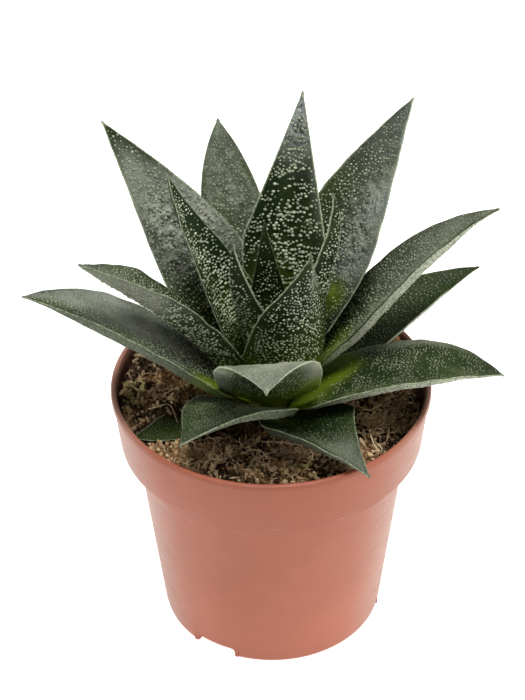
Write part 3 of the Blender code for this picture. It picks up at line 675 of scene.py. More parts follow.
    # The grey and under patches are wax with painted sheen, on the inner and outer faces, laid on unevenly.
    patchy = 1.0 + 0.7 * uneven(down / 13.0, sideways / 8.0, seed + 6.6)
    grey = patches(leaf["grey"], share_along, across_leaf) * inner_face
    grey = grey + patches(leaf["under"], share_along, across_leaf) * face[None, :]
    wax = np.clip((grey + leaf["bloom"] * smooth_step((share_along - 0.15) / 0.3)) * patchy, 0.0, 1.4)
    cover = cover * (1.0 - 0.35 * np.clip(grey * patchy * 1.3, 0.0, 1.0))
    # The dark patches leave the skin bare of tubercles and darker, which is a painted shadow of the leaves
    # above.
    bare_and_shadowed = np.clip(patches(leaf["dark"], share_along, across_leaf), 0.0, 1.0)
    cover, wax = cover * (1.0 - bare_and_shadowed), wax * (1.0 - bare_and_shadowed)
    creased = patches(leaf["creased"], share_along, across_leaf) * inner_face
    rows_of = uneven((reach + 0.2 * halves * place) / leaf["rows"], sideways / 9.0, seed + 1.7)
    patch = uneven(down / 4.0, sideways / 4.5, seed + 4.1)
    gather = smooth_step((rows_of + 0.35 * patch + 0.24) / 0.22)
    cover = cover * (1.0 - leaf["bands"] * (1.0 - gather))
    breadth = (1.05 - 0.35 * spread ** 2) * (1.1 - 0.5 * smooth_step(share_along - 0.35))
    lime = np.exp(-(reach / leaf["lime"]) ** 2 * (0.7 + 0.8 * spread))
    # The lime foot is the skin's own colour. The lime patches add to it, and on the heart leaves and the
    # small low leaf they are painted green bounce light.
    lime = np.maximum(lime, patches(leaf["lime_and_bounce"], share_along, across_leaf))
    cover = cover * (1.0 - 0.85 * smooth_step((lime - 0.45) / 0.4))
    tone = np.clip(leaf["tone"] + 0.8 * uneven(down / 21.0, sideways / 9.0, seed + 7.7), 0.0, 1.0)
    facts = {"rim": rim, "cover": cover, "breadth": breadth, "lime": lime, "wax": wax, "creased": creased,
             "tone": tone * (1.0 - bare_and_shadowed), "sand": leaf["sand"] * (1.0 - bare_and_shadowed), "dust": leaf["dust"],
             "cool": leaf["cool"], "band": band[None, :] * smooth_step(reach / 25.0), "face": face,
             "bead": on_bead[None, :] * (cover.max(axis=1)[:, None] > 0.2)}
    for key, grid in facts.items():
        grid = np.broadcast_to(grid, (len(rows), count))
        values = np.concatenate([grid.ravel(), [grid[0].mean(), grid[-1].mean()]])
        mesh.attributes.new(key, "FLOAT", "POINT").data.foreach_set("value", values)
    crosswise = np.concatenate([across, np.repeat(across[-1:], len(rows) - len(far), axis=0)])
    crosswise = np.repeat(crosswise[:, None], count, axis=1)
    outward = crosswise * np.sign(place)[None, :, None]
    for key, grid in (("crosswise", crosswise), ("outward", outward)):
        values = np.concatenate([grid.reshape(-1, 3), grid[0, :1], grid[-1, :1]]).ravel()
        mesh.attributes.new(key, "FLOAT_VECTOR", "POINT").data.foreach_set("vector", values)
    return mesh


def attribute(tree, name, kind="FLOAT"):
    return put(tree, "GeometryNodeInputNamedAttribute", {"Name": name}, data_type=kind)


def chosen(tree, name, operation, value, **others):
    """Pick points or faces by a share that is written on them."""
    inputs = {0: attribute(tree, name), 1: value, **others}
    return put(tree, "FunctionNodeCompare", inputs, data_type="FLOAT", operation=operation)


def chance(tree, low, high, seed, step=0.0):
    """A random number for each point between two limits; another step gives other numbers."""
    if step:
        seed = reckon(tree, "ADD", seed, step)
    inputs = {2: low, 3: high, "Seed": seed}
    return put(tree, "FunctionNodeRandomValue", inputs, data_type="FLOAT", take=1)


def note(tree, geometry, name, value, domain="POINT"):
    inputs = {"Geometry": geometry, "Name": name, "Value": value}
    settings = dict(data_type="FLOAT", domain=domain)
    return put(tree, "GeometryNodeStoreNamedAttribute", inputs, **settings)


def strew(tree, mesh, spacing, dense, share, seed, faces=True):
    """Points strewn over the chosen faces of a mesh, none nearer to another than the spacing."""
    inputs = {"Mesh": mesh, "Selection": faces, "Distance Min": spacing, "Density Max": dense,
              "Density Factor": share, "Seed": seed}
    settings = dict(distribute_method="POISSON", take=None)
    return put(tree, "GeometryNodeDistributePointsOnFaces", inputs, **settings).outputs


def node_tree(name, **sockets):
    """A geometry node tree with named inputs, given as the names for each kind of socket."""
    tree = bpy.data.node_groups.new(name, "GeometryNodeTree")
    for kind, labels in sockets.items():
        for label in labels:
            tree.interface.new_socket(label, in_out="INPUT", socket_type="NodeSocket" + kind)
    tree.interface.new_socket("Geometry", in_out="OUTPUT", socket_type="NodeSocketGeometry")
    return tree, tree.nodes.new("NodeGroupInput").outputs


def close_tree(tree, parts, material, chosen_faces=True):
    """Join the parts, make their instances real, give them the finish and lead them out."""
    whole = put(tree, "GeometryNodeJoinGeometry", take=None)
    for part in parts:
        tree.links.new(part, whole.inputs[0])
    whole = put(tree, "GeometryNodeRealizeInstances", {0: whole.outputs[0]})
    inputs = {"Geometry": whole, "Selection": chosen_faces, "Material": material}
    whole = put(tree, "GeometryNodeSetMaterial", inputs)
    tree.links.new(whole, tree.nodes.new("NodeGroupOutput").inputs[0])


def grow(obj, tree, values):
    """Run a node tree on an object with the values for its named inputs, and keep the result."""
    modifier = obj.modifiers.new(tree.name, "NODES")
    modifier.node_group = tree
    for item in tree.interface.items_tree:
        if item.in_out == "INPUT" and item.name in values:
            modifier[item.identifier] = values[item.name]
    return set_firm(obj)


relief, given = node_tree(
    "leaf_relief", Geometry=["Leaf"], Int=["Lump Sides", "Seed"], Material=["Horn"],
    Float=["Inner Spacing", "Inner Breadth", "Inner Paleness", "Outer Spacing", "Outer Breadth",
           "Outer Paleness", "Tooth Spacing", "Tooth Height"])


def tubercles(tree, given, face, fine, seed_step):
    """Low round lumps set over one face of the leaf; the fine ones lie between the others."""
    here = "Outer" if face else "Inner"
    spacing = times(tree, given[here + " Spacing"], 0.7 if fine else 1.0)
    dense = reckon(tree, "DIVIDE", LUMP_PACKING, reckon(tree, "POWER", spacing, 2.0))
    seed = reckon(tree, "ADD", given["Seed"], seed_step)
    cover = attribute(tree, "cover")
    if fine:
        cover = times(tree, cover, attribute(tree, "dust"))
    on_face = chosen(tree, "face", "EQUAL", face, Epsilon=0.1)
    spread = strew(tree, given["Leaf"], spacing, dense, cover, seed, on_face)
    if fine:
        lump = put(tree, "GeometryNodeMeshIcoSphere", {"Radius": 0.5, "Subdivisions": 1})
    else:
        rings = reckon(tree, "SUBTRACT", given["Lump Sides"], 3.0)
        sizes = {"Segments": given["Lump Sides"], "Rings": rings, "Radius": 0.5}
        lump = put(tree, "GeometryNodeMeshUVSphere", sizes)
    lump = put(tree, "GeometryNodeSetShadeSmooth", {"Geometry": lump})
    spot = put(tree, "GeometryNodeInputPosition")
    height = put(tree, "ShaderNodeSeparateXYZ", {0: spot}, take=2)
    lump = note(tree, note(tree, lump, "height", height), "raised", 1.0)
    turned_across = put(tree, "FunctionNodeAlignRotationToVector", {
        "Rotation": spread["Rotation"], "Vector": attribute(tree, "crosswise", "FLOAT_VECTOR")},
        axis="X", pivot_axis="Z")
    breadth = times(tree, given[here + " Breadth"], attribute(tree, "breadth"))
    uneven_size = reckon(tree, "POWER", chance(tree, 0.78, 1.1, seed), 2.0)
    breadth = times(tree, breadth, times(tree, uneven_size, 0.72 if fine else 1.15))
    sides = []
    for low, high, step in ((0.95, 1.4, 3.0), (0.8, 1.1, 4.0), (0.55, 0.95, 6.0)):
        sides.append(times(tree, breadth, chance(tree, low, high, seed, step)))
    lumps = put(tree, "GeometryNodeInstanceOnPoints", {
        "Points": spread["Points"], "Instance": lump, "Rotation": turned_across,
        "Scale": vector(tree, *sides)})
    low = 0.15 if fine else 0.5
    pale = times(tree, given[here + " Paleness"], chance(tree, low, low + 0.65, seed, 5.0))
    return note(tree, lumps, "pale", pale, "INSTANCE")


def margin_teeth(tree, given):
    """Tiny horny teeth that point out of the bead along both margins."""
    edge = chosen(tree, "bead", "GREATER_THAN", 0.9)
    ridge = put(tree, "GeometryNodeMeshToCurve", {"Mesh": given["Leaf"], "Selection": edge})
    ridge = put(tree, "GeometryNodeResampleCurve", {
        "Curve": ridge, "Length": given["Tooth Spacing"]}, mode="LENGTH")
    tooth = put(tree, "GeometryNodeMeshCone", {
        "Vertices": 4, "Side Segments": 1, "Fill Segments": 1, "Radius Top": 0.0, "Radius Bottom": 0.55,
        "Depth": 1.0}, take="Mesh")
    tooth = note(tree, note(tree, tooth, "height", 0.5), "raised", 1.0)
    seed = reckon(tree, "ADD", given["Seed"], 40.0)
    lean = put(tree, "FunctionNodeAlignRotationToVector", {
        "Vector": attribute(tree, "outward", "FLOAT_VECTOR")}, axis="Z")
    size = times(tree, given["Tooth Height"], chance(tree, 0.6, 1.3, seed))
    teeth = put(tree, "GeometryNodeInstanceOnPoints", {
        "Points": ridge, "Instance": tooth, "Rotation": lean, "Scale": size})
    return note(tree, teeth, "pale", chance(tree, 0.3, 0.75, seed), "INSTANCE")


branches = [margin_teeth(relief, given)]
for face, fine, seed_step in ((1, True, 25.0), (1, False, 20.0), (0, True, 15.0), (0, False, 10.0)):
    branches.append(tubercles(relief, given, face, fine, seed_step))
stands_out = chosen(relief, "raised", "GREATER_THAN", 0.5)
close_tree(relief, branches + [given["Leaf"]], given["Horn"], stands_out)


def share_of(tree, name):
    """A share that is written on the piece's own points."""
    return put(tree, "ShaderNodeAttribute", attribute_name=name, take="Fac")


skin, tree, shader, place = start_finish("gasteria_skin", Specular_IOR_Level=0.16)
mottle = clouds(tree, place, 130.0, 5.0, 0.62)
crumbly = clouds(tree, place, 1100.0, 3.0, 0.6)
green = times(tree, share_of(tree, "tone"), ease(tree, mottle, 0.3, 0.7, 0.4, 1.3))
# Wax with painted sheen, made grainy and mottled.
wax = times(tree, share_of(tree, "wax"), ease(tree, crumbly, 0.36, 0.6, 0.75, 1.12))
wax = times(tree, wax, ease(tree, mottle, 0.36, 0.62, 0.78, 1.06))
gritty = clouds(tree, place, 1500.0, 2.0, 0.5)
wax = times(tree, wax, ease(tree, gritty, 0.38, 0.62, 0.84, 1.1))
# Bluish wax with painted bluish sheen, in clouds.
cool = times(tree, share_of(tree, "cool"), ease(tree, clouds(tree, place, 75.0, 2.0), 0.35, 0.6, 0.3, 1.0))
# Painted light on the creases: one noise less the same noise a little higher up gives painted shade on one
# side of each crease and a painted highlight, the ridge, on the other.
inputs = {0: place, 1: [c * MM for c in CREASE_STEP]}
above = put(tree, "ShaderNodeVectorMath", inputs, operation="ADD")
swell = clouds(tree, place, 260.0, 3.0, 0.6)
slope = reckon(tree, "SUBTRACT", swell, clouds(tree, above, 260.0, 3.0, 0.6))
crumpled = share_of(tree, "creased")
crease_painted_shade = times(tree, ease(tree, slope, 0.045, 0.07), crumpled)
ridge = times(tree, ease(tree, slope, -0.085, -0.05, 1.0, 0.0), crumpled)
fleck = put(tree, "ShaderNodeTexVoronoi", {"Vector": place, "Scale": 1150.0}, take="Distance")
fleck = times(tree, ease(tree, fleck, 0.16, 0.42, 1.0, 0.0), ease(tree, crumbly, 0.4, 0.62))
fleck = times(tree, fleck, share_of(tree, "sand"))
# Painted light on the flat side of the front edge.
band = times(tree, share_of(tree, "band"), ease(tree, gritty, 0.4, 0.6, 0.45, 1.25))
rim = times(tree, share_of(tree, "rim"), ease(tree, crumbly, 0.35, 0.6, 0.6, 1.1))
coat(
    tree, shader, tint(tree, green, DARK_GREEN, MID_GREEN),
    (wax, tint(tree, cool, WAX_AND_SHEEN_GREY, WAX_AND_SHEEN_BLUISH)),
    (times(tree, crease_painted_shade, 0.8), CREASE_PAINTED_SHADE),
    (times(tree, ridge, 0.4), CREASE_PAINTED_HIGHLIGHT),
    (fleck, SPECK_PALE),
    # Lime of the foot, with painted green bounce light from the lime patches.
    (ease(tree, share_of(tree, "lime"), 0.1, 0.95, 0.0, 0.95), LIME_FOOT),
    (band, FLANK_PAINTED_LIGHT),
    (ease(tree, rim, 0.1, 1.0, 0.0, 0.95), MARGIN_PALE))
tree.links.new(ease(tree, crumbly, 0.3, 0.7, 0.5, 0.65), shader.inputs["Roughness"])
grain(tree, shader, clouds(tree, place, 420.0, 5.0, 0.62), 0.45, 0.45)
grain(tree, shader, ease(tree, crease_painted_shade, 0.0, 1.0, 1.0, 0.0), 0.8, 0.7)
grain(tree, shader, times(tree, crumpled, clouds(tree, place, 230.0, 3.0, 0.5)), 0.9, 4.0)
grain(tree, shader, fleck, 0.7, 0.3)

horn, tree, shader, place = start_finish("tubercle_horn", Roughness=0.42, Specular_IOR_Level=0.35)
# The lumps take the lime and the wax colour with its painted sheen.
limy, waxy = share_of(tree, "lime"), share_of(tree, "wax")
cap = times(tree, ease(tree, share_of(tree, "height"), 0.04, 0.48), share_of(tree, "pale"))
cap = times(tree, cap, ease(tree, waxy, 0.1, 0.7, 1.0, 0.2))
coat(
    tree, shader, tint(tree, share_of(tree, "tone"), DARK_GREEN, MID_GREEN),
    (ease(tree, limy, 0.1, 0.95), LIME_FOOT),
    (waxy, WAX_AND_SHEEN_GREY),
    (cap, tint(tree, ease(tree, limy, 0.2, 1.0, 0.0, 0.6), HORN_PALE, HORN_LIME)),
    (ease(tree, clouds(tree, place, 900.0), 0.4, 0.8, 0.0, 0.3), HORN_DULL))
grain(tree, shader, clouds(tree, place, 1800.0, 2.0), 0.2, 0.1)

for k, (name, sizes) in enumerate(LEAVES.items()):
    leaf = dict(LEAF_DEFAULTS, **sizes)
    mesh = leaf_skin(name + "_skin", leaf, ROOT_SEED + 13.0 * k)
    mesh.materials.append(skin)
    fine = hang(name + "_fine", mesh)
    values = {
        "Lump Sides": 7 if leaf["inner"][1] > 1.0 else 6, "Tooth Spacing": TOOTH_SPACING * MM,
        "Tooth Height": (TOOTH_LOWEST + TOOTH_RANGE * leaf["edge"]) * MM, "Seed": ROOT_SEED + 100 * k,
        "Horn": horn}
    for label, key in (("Inner", "inner"), ("Outer", "outer")):
        spacing, breadth, paleness = leaf[key]
        values[label + " Spacing"] = spacing * MM
        values[label + " Breadth"] = breadth * MM
        values[label + " Paleness"] = paleness
    grow(fine, relief, values)
    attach(fine, "root")
    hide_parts(name)

# Soil
# Coarse peat and coir filled in loose around the rosette to a finger under the rim: crumbs and
# flakes from almost black to straw, with low heaps of them and small tufts of moss.

CROWN_HOLE_RADIUS = 8.9
CROWN_DEPTH = 28.0
SOIL_GAP = 0.3
SOIL_MIDDLE_LEVEL = 89.0
SOIL_EDGE_LEVEL = 95.5
SOIL_SIDE_TILT = 2.6
SOIL_SECTORS = 180
SOIL_RINGS = 54
LUMP_HEIGHT = 2.2
CRUMB_HEIGHT = 1.1
LEAF_ROOM = 7.5
LEAF_CLEARANCE = 1.3
CRUMB_SPACING = 1.05
CRUMB_SIZE = 1.35
FLAKE_SPACING = 1.9
FLAKE_SIZE = 2.7
TUFT_SPACING = 1.1
TUFT_SIZE = 1.9
BIT_SHAPES = 5
BIT_PACKING = 2.5
SOIL_HEAPS = (
    (46.5, 28.0, 9.2, 8.0), (-51.0, 1.0, 2.5, 7.0), (39.0, -17.0, 3.0, 5.0), (46.0, -8.0, -3.0, 5.0),
    (11.5, -38.0, 2.0, 5.0), (-37.0, -8.0, 5.8, 6.0))
STRAW_SPOTS = ((-29.0, -33.0, 9.0), (-42.0, -12.0, 6.0), (18.0, -47.0, 7.0), (-10.0, -42.0, 6.0))
HAIR_SPOTS = (
    (38.5, -16.0, 8.0), (44.0, -6.0, 6.0), (-20.0, -38.0, 3.5), (-4.0, -36.0, 3.5), (12.0, -31.0, 4.0))
MOSS_TUFTS = ((-52.0, 1.0, 6.5), (-11.0, -26.0, 4.0), (11.5, -38.5, 3.5), (46.0, -11.0, 3.0))
PEAT_BROWN = (80, 56, 34)
PEAT_TAN = (196, 154, 108)
PEAT_BLACK = (34, 22, 12)
PEAT_OLIVE = (84, 70, 44)
STRAW_PALE = (250, 222, 178)
STRAW_TAN = (214, 182, 138)
MOSS_DULL = (120, 110, 54)
MOSS_PALE = (232, 216, 148)

low_leaf = []
for name, sizes in LEAVES.items():
    leaf = dict(LEAF_DEFAULTS, **sizes)
    line, along, across, up, half, thick = leaf_form(leaf, np.linspace(0.0, 1.0, 25))
    rise = math.tan(math.radians(leaf["fold"]))
    level = 1.0 / math.sqrt(1.0 + rise * rise)
    covered = name == "leaf_small_low"
    for u in np.linspace(0.0 if covered else -1.0, 1.0, 9):
        lifted = half * rise * level * abs(u) ** 1.5
        edge = line + across * (half * u * level)[:, None] + up * lifted[:, None]
        edge = edge - up * (thick * (1.0 - abs(u) ** 1.6) + MARGIN_THICK)[:, None]
        low_leaf.append(np.column_stack((edge, np.full(len(edge), 2.5 if covered else LEAF_ROOM))))
low_leaf = np.vstack(low_leaf)


def nearness(x, y, spots):
    """How near a place is to the nearest spot, up to 1; each spot is its place and its reach."""
    return max(math.exp(-((x - at_x) ** 2 + (y - at_y) ** 2) / reach ** 2) for at_x, at_y, reach in spots)


def soil_level(x, y):
    """Height of the soil at a place, and the free height that the leaves leave above it."""
    r = math.hypot(x, y)
    level = SOIL_MIDDLE_LEVEL + (SOIL_EDGE_LEVEL - SOIL_MIDDLE_LEVEL) * smooth_step((r - 10.0) / 38.0)
    level -= SOIL_SIDE_TILT * (x / 50.0) * smooth_step((r - 20.0) / 25.0)
    swell = smooth_step((r - 9.0) / 8.0)
    level += swell * LUMP_HEIGHT * noise.noise(Vector((x * 0.16, y * 0.16, 3.7)))
    level += swell * CRUMB_HEIGHT * noise.noise(Vector((x * 0.61, y * 0.61, 9.1)))
    level += swell * 0.8 * abs(noise.noise(Vector((x * 0.33, y * 0.33, 21.0))))
    level += swell * 0.7 * noise.noise(Vector((x * 1.3, y * 1.3, 5.5)))
    dip = smooth_step((r - 44.0) / 8.0) * smooth_step((x - 18.0) / 20.0) * smooth_step((12.0 - y) / 12.0)
    level -= 1.5 * dip
    for at_x, at_y, height, reach in SOIL_HEAPS:
        level += height * nearness(x, y, [(at_x, at_y, reach)])
    near = low_leaf[np.hypot(low_leaf[:, 0] - x, low_leaf[:, 1] - y) < low_leaf[:, 3]]
    free = near[:, 2].min() - level if len(near) else 30.0
    if free < LEAF_CLEARANCE:
        level -= LEAF_CLEARANCE - free
        free = LEAF_CLEARANCE
    return level, free


inner_top = COLLAR_FOOT_RADIUS - WALL_THICK
wall_slope = (lip_inner - inner_top) / (lip_foot - collar_foot - 1.4)
soil_edge = inner_top + (SOIL_EDGE_LEVEL - 5.0 - collar_foot - 1.4) * wall_slope - SOIL_GAP
soil_points = []
soil_shares = {"room": [], "moss": [], "strawy": [], "hairy": []}
soil_loops = []


def soil_ring(radius, level=None):
    """One ring of the soil body; without a level it lies on the crumbly top."""
    ring = []
    for k in range(SOIL_SECTORS):
        a = 2.0 * math.pi * k / SOIL_SECTORS
        x, y = radius * math.cos(a), radius * math.sin(a)
        z, free = (level, 0.0) if level is not None else soil_level(x, y)
        room = 0.0 if level is not None else smooth_step((free - LEAF_CLEARANCE) / 3.0)
        room = room * smooth_step((soil_edge - radius) / 1.5)
        hairy = 0.04 + 0.96 * smooth_step((nearness(x, y, HAIR_SPOTS) - 0.3) / 0.4)
        ring.append(len(soil_points))
        soil_points.append((x * MM, y * MM, z * MM))
        soil_shares["room"].append(room)
        soil_shares["moss"].append(room * smooth_step((nearness(x, y, MOSS_TUFTS) - 0.3) / 0.4))
        soil_shares["strawy"].append(0.15 + 0.85 * nearness(x, y, STRAW_SPOTS))
        soil_shares["hairy"].append(room * hairy * smooth_step((soil_edge - radius - 4.8) / 1.5))
    soil_loops.append(ring)


soil_ring(CROWN_HOLE_RADIUS, CROWN_LEVEL - CROWN_DEPTH - SOIL_GAP)
for radius in np.linspace(CROWN_HOLE_RADIUS, soil_edge, SOIL_RINGS):
    soil_ring(radius)
soil_ring(inner_top - SOIL_GAP, collar_foot + 1.4 + SOIL_GAP / 2)
soil_ring(WALL_TOP_RADIUS - WALL_THICK - SOIL_GAP, collar_foot - 0.6 + SOIL_GAP / 2)
soil_ring(BASE_RADIUS - WALL_THICK - 1.2, FLOOR_THICK + SOIL_GAP)
soil_faces = []
for inner, outer in zip(soil_loops[:-1], soil_loops[1:]):
    for k in range(SOIL_SECTORS):
        n = (k + 1) % SOIL_SECTORS
        soil_faces.append((inner[k], outer[k], outer[n], inner[n]))
for ring, level, upward in ((soil_loops[0], CROWN_LEVEL - CROWN_DEPTH - SOIL_GAP, True),
                            (soil_loops[-1], FLOOR_THICK + SOIL_GAP, False)):
    middle = len(soil_points)
    soil_points.append((0.0, 0.0, level * MM))
    for shares in soil_shares.values():
        shares.append(0.0)
    for k in range(SOIL_SECTORS):
        pair = (ring[k], ring[(k + 1) % SOIL_SECTORS])
        soil_faces.append((middle, *(pair if upward else pair[::-1])))
mesh = bpy.data.meshes.new("soil_peat")
mesh.from_pydata(soil_points, [], soil_faces)
for name, shares in soil_shares.items():
    mesh.attributes.new(name, "FLOAT", "POINT").data.foreach_set("value", shares)
mesh.shade_smooth()
soil = hang("soil_peat", mesh)
rooms = []
for turn in CHANNEL_TURNS:
    room = block(
        "channel_room", CHANNEL_INNER_RADIUS - WALL_THICK - SOIL_GAP, BASE_RADIUS + 4.0,
        CHANNEL_WIDTH + 2 * WALL_THICK + 2 * SOIL_GAP, -2.0, CHANNEL_HEIGHT + WALL_THICK + SOIL_GAP, turn)
    cut(soil, room, "DIFFERENCE")
    rooms.append(room)
set_firm(soil)
for room in rooms:
    bpy.data.objects.remove(room)

litter, given = node_tree(
    "soil_litter", Geometry=["Soil"], Int=["Seed"], Material=["Peat"],
    Float=["Crumb Spacing", "Crumb Size", "Flake Spacing", "Flake Size", "Tuft Spacing", "Tuft Size"])


def knead(tree, per_unit, kind, reach):
    """A random shift for each point of a shape, another for each kind of shape."""
    spot = put(tree, "GeometryNodeInputPosition")
    inputs = {"Vector": spot, "Scale": per_unit, "W": kind}
    shift = put(tree, "ShaderNodeTexNoise", inputs, noise_dimensions="4D", take=1)
    inputs = {0: shift, 1: (0.5, 0.5, 0.5)}
    shift = put(tree, "ShaderNodeVectorMath", inputs, operation="SUBTRACT")
    return put(tree, "ShaderNodeVectorMath", {0: shift, "Scale": reach}, operation="SCALE")


def spun(tree, low, high, seed):
    """A random turn about the three axes for each point."""
    inputs = {0: low, 1: high, "Seed": seed}
    return put(tree, "FunctionNodeRandomValue", inputs, data_type="FLOAT_VECTOR")


def set_down(tree, points, kinds, turn, scale=(1.0, 1.0, 1.0)):
    """Set down one of several shapes on each point, by chance."""
    shapes = put(tree, "GeometryNodeJoinGeometry", take=None)
    for shape in kinds:
        tree.links.new(put(tree, "GeometryNodeGeometryToInstance", {0: shape}), shapes.inputs[0])
    return put(tree, "GeometryNodeInstanceOnPoints", {
        "Points": points, "Instance": shapes.outputs[0], "Pick Instance": True, "Rotation": turn,
        "Scale": scale})


def bits(tree, given, label, flat, where, seed_step):
    """Loose bits of a few lumpy shapes strewn over the open soil."""
    seed = reckon(tree, "ADD", given["Seed"], seed_step)
    spacing = given[label + " Spacing"]
    dense = reckon(tree, "DIVIDE", BIT_PACKING, reckon(tree, "POWER", spacing, 2.0))
    spread = strew(tree, given["Soil"], spacing, dense, attribute(tree, where), seed)
    balls = []
    for k in range(BIT_SHAPES):
        ball = put(tree, "GeometryNodeMeshIcoSphere", {"Radius": 0.5, "Subdivisions": 1})
        inputs = {"Geometry": ball, "Offset": knead(tree, 3.0, 5.0 * k + seed_step, 1.5)}
        ball = put(tree, "GeometryNodeSetPosition", inputs)
        balls.append(put(tree, "GeometryNodeSetShadeSmooth", {"Geometry": ball, "Shade Smooth": False}))
    spin = spun(tree, (0.0, 0.0, 0.0), (6.3, 6.3, 6.3), reckon(tree, "ADD", seed, 1.0))
    size = reckon(tree, "POWER", chance(tree, 0.55, 1.3, seed, 2.0), 1.6)
    size = times(tree, given[label + " Size"], size)
    sides = [times(tree, size, share) for share in ((1.7, 0.6, 0.3) if flat else (1.3, 1.0, 0.85))]
    strewn = set_down(tree, spread["Points"], balls, spin, vector(tree, *sides))
    strewn = note(tree, strewn, "mossy", 1.0 if where == "moss" else 0.0, "INSTANCE")
    return note(tree, strewn, "straw", chance(tree, 0.0, 1.0, seed, 3.0), "INSTANCE")


branches = [
    bits(litter, given, "Tuft", False, "moss", 50.0),
    bits(litter, given, "Flake", True, "room", 30.0),
    bits(litter, given, "Crumb", False, "room", 10.0),
]
close_tree(litter, branches + [given["Soil"]], given["Peat"])

peat, tree, shader, place = start_finish("peat_and_coir", Roughness=0.92, Specular_IOR_Level=0.2)
straw, strawy = share_of(tree, "straw"), share_of(tree, "strawy")
speckled = ease(tree, clouds(tree, place, 900.0, 4.0, 0.7), 0.35, 0.65)
pale_bits = times(tree, ease(tree, straw, 0.45, 0.75), ease(tree, strawy, 0.2, 0.8, 0.62, 1.0))
clump = ease(tree, clouds(tree, place, 75.0, 3.0), 0.4, 0.6)
dull = reckon(tree, "ADD", times(tree, straw, 0.5), times(tree, clump, 0.5))
coat(
    tree, shader, tint(tree, speckled, PEAT_BROWN, PEAT_TAN),
    (pale_bits, STRAW_PALE),
    (ease(tree, strawy, 0.5, 0.95, 0.0, 0.4), STRAW_TAN),
    (ease(tree, dull, 0.15, 0.55, 0.92, 0.0), PEAT_BLACK),
    (ease(tree, clouds(tree, place, 110.0, 3.0), 0.5, 0.75, 0.0, 0.45), PEAT_OLIVE),
    (times(tree, share_of(tree, "mossy"), 0.85), tint(tree, straw, MOSS_DULL, MOSS_PALE)))
grain(tree, shader, clouds(tree, place, 1300.0, 5.0, 0.7), 0.8, 0.5)
soil.data.materials.clear()
grow(soil, litter, {
    "Crumb Spacing": CRUMB_SPACING * MM, "Crumb Size": CRUMB_SIZE * MM, "Flake Spacing": FLAKE_SPACING * MM,
    "Flake Size": FLAKE_SIZE * MM, "Tuft Spacing": TUFT_SPACING * MM, "Tuft Size": TUFT_SIZE * MM,
    "Seed": ROOT_SEED, "Peat": peat})
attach(soil, "root")
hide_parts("soil")

# Fibres and granules
# Loose hairs of coir that lie curled over the soil, a few long ones and many short, and a few
# granules of fired clay by the rim. They lie on the crumbs, and nothing holds them.

FIBRE_RADIUS = 0.21
FIBRE_RISE = 3.2
FIBRE_ARCH = 2.0
HAIR_RADIUS = 0.15
HAIR_RISE = 2.6
HAIR_BEND = 2.3
HAIR_SPACING = 1.4
HAIRS_TO_SQUARE_METRE = 1500000.0
HAIR_ARCS = ((0.6, 4.6), (0.9, 2.8), (1.4, 1.9), (2.1, 1.4), (3.2, 1.0))
LONG_FIBRES = (
    ((-4.0, -21.8), (1.2, -23.0), (5.8, -25.2), (10.2, -28.2), (13.4, -31.4), (14.8, -34.6), (14.6, -37.2)),
    ((36.7, -22.2), (36.3, -25.4), (37.1, -28.4), (39.6, -30.7)),
    ((-31.5, -34.1), (-30.0, -31.9), (-28.2, -30.3)),
    ((-11.7, -32.8), (-8.1, -32.0), (-3.7, -33.4), (-1.5, -36.8)),
    ((51.0, -0.2), (52.8, -0.8), (53.4, -3.6)),
    ((43.1, -18.2), (43.3, -21.7), (42.4, -25.1)),
    ((-46.0, -12.0), (-41.0, -13.0), (-37.0, -11.5), (-34.5, -14.0)),
)
GRANULES = ((48.6, 27.2, 1.6), (46.6, 25.2, 1.0), (50.8, 25.0, 0.7))
COIR_BROWN = (178, 134, 88)
COIR_PALE = (255, 232, 190)
COIR_SHADE = (92, 66, 46)
CLAY = (188, 132, 84)
CLAY_PALE = (222, 178, 128)


def fibre_tube(way, radius, sides=4):
    """Points and faces of a thin closed tube along a way, its ends drawn to a point."""
    way = np.array(way, dtype=float)
    along = np.gradient(way, axis=0)
    along = along / np.linalg.norm(along, axis=1)[:, None]
    level = np.cross(along, (0.0, 0.0, 1.0))
    level = level / np.linalg.norm(level, axis=1)[:, None]
    up = np.cross(level, along)
    points, faces = [tuple(way[0])], []
    for k in range(1, len(way) - 1):
        for n in range(sides):
            a = 2.0 * math.pi * n / sides
            points.append(tuple(way[k] + (level[k] * math.cos(a) + up[k] * math.sin(a)) * radius))
    last = len(points)
    points.append(tuple(way[-1]))
    for n in range(sides):
        m = (n + 1) % sides
        faces.append((0, 1 + n, 1 + m))
        faces.append((last, last - sides + m, last - sides + n))
        for k in range(len(way) - 3):
            first = 1 + k * sides
            faces.append((first + n, first + sides + n, first + sides + m, first + m))
    return points, faces


fibre_points = []
fibre_faces = []
for bends in LONG_FIBRES:
    bends = np.array(bends)
    marks = np.linspace(0.0, len(bends) - 1.0, 6 * len(bends))
    flat_way = [np.interp(marks, np.arange(len(bends)), bends[:, axis]) for axis in (0, 1)]
    for _ in range(3):
        for row in flat_way:
            row[1:-1] = (row[:-2] + 2.0 * row[1:-1] + row[2:]) / 4.0
    heights = np.array([soil_level(x, y)[0] for x, y in zip(*flat_way)])
    for _ in range(40):
        heights[1:-1] = (heights[:-2] + 2.0 * heights[1:-1] + heights[2:]) / 4.0
    heights = heights + FIBRE_RISE + FIBRE_ARCH * np.sin(np.linspace(0.0, math.pi, len(marks)))
    way = [(x * MM, y * MM, z * MM) for x, y, z in zip(*flat_way, heights)]
    points, faces = fibre_tube(way, FIBRE_RADIUS * MM)
    first = len(fibre_points)
    fibre_points += points
    fibre_faces += [tuple(first + n for n in face) for face in faces]
mesh = bpy.data.meshes.new("long_fibres")
mesh.from_pydata(fibre_points, [], fibre_faces)
mesh.shade_smooth()
long_fibres = hang("long_fibres", mesh)

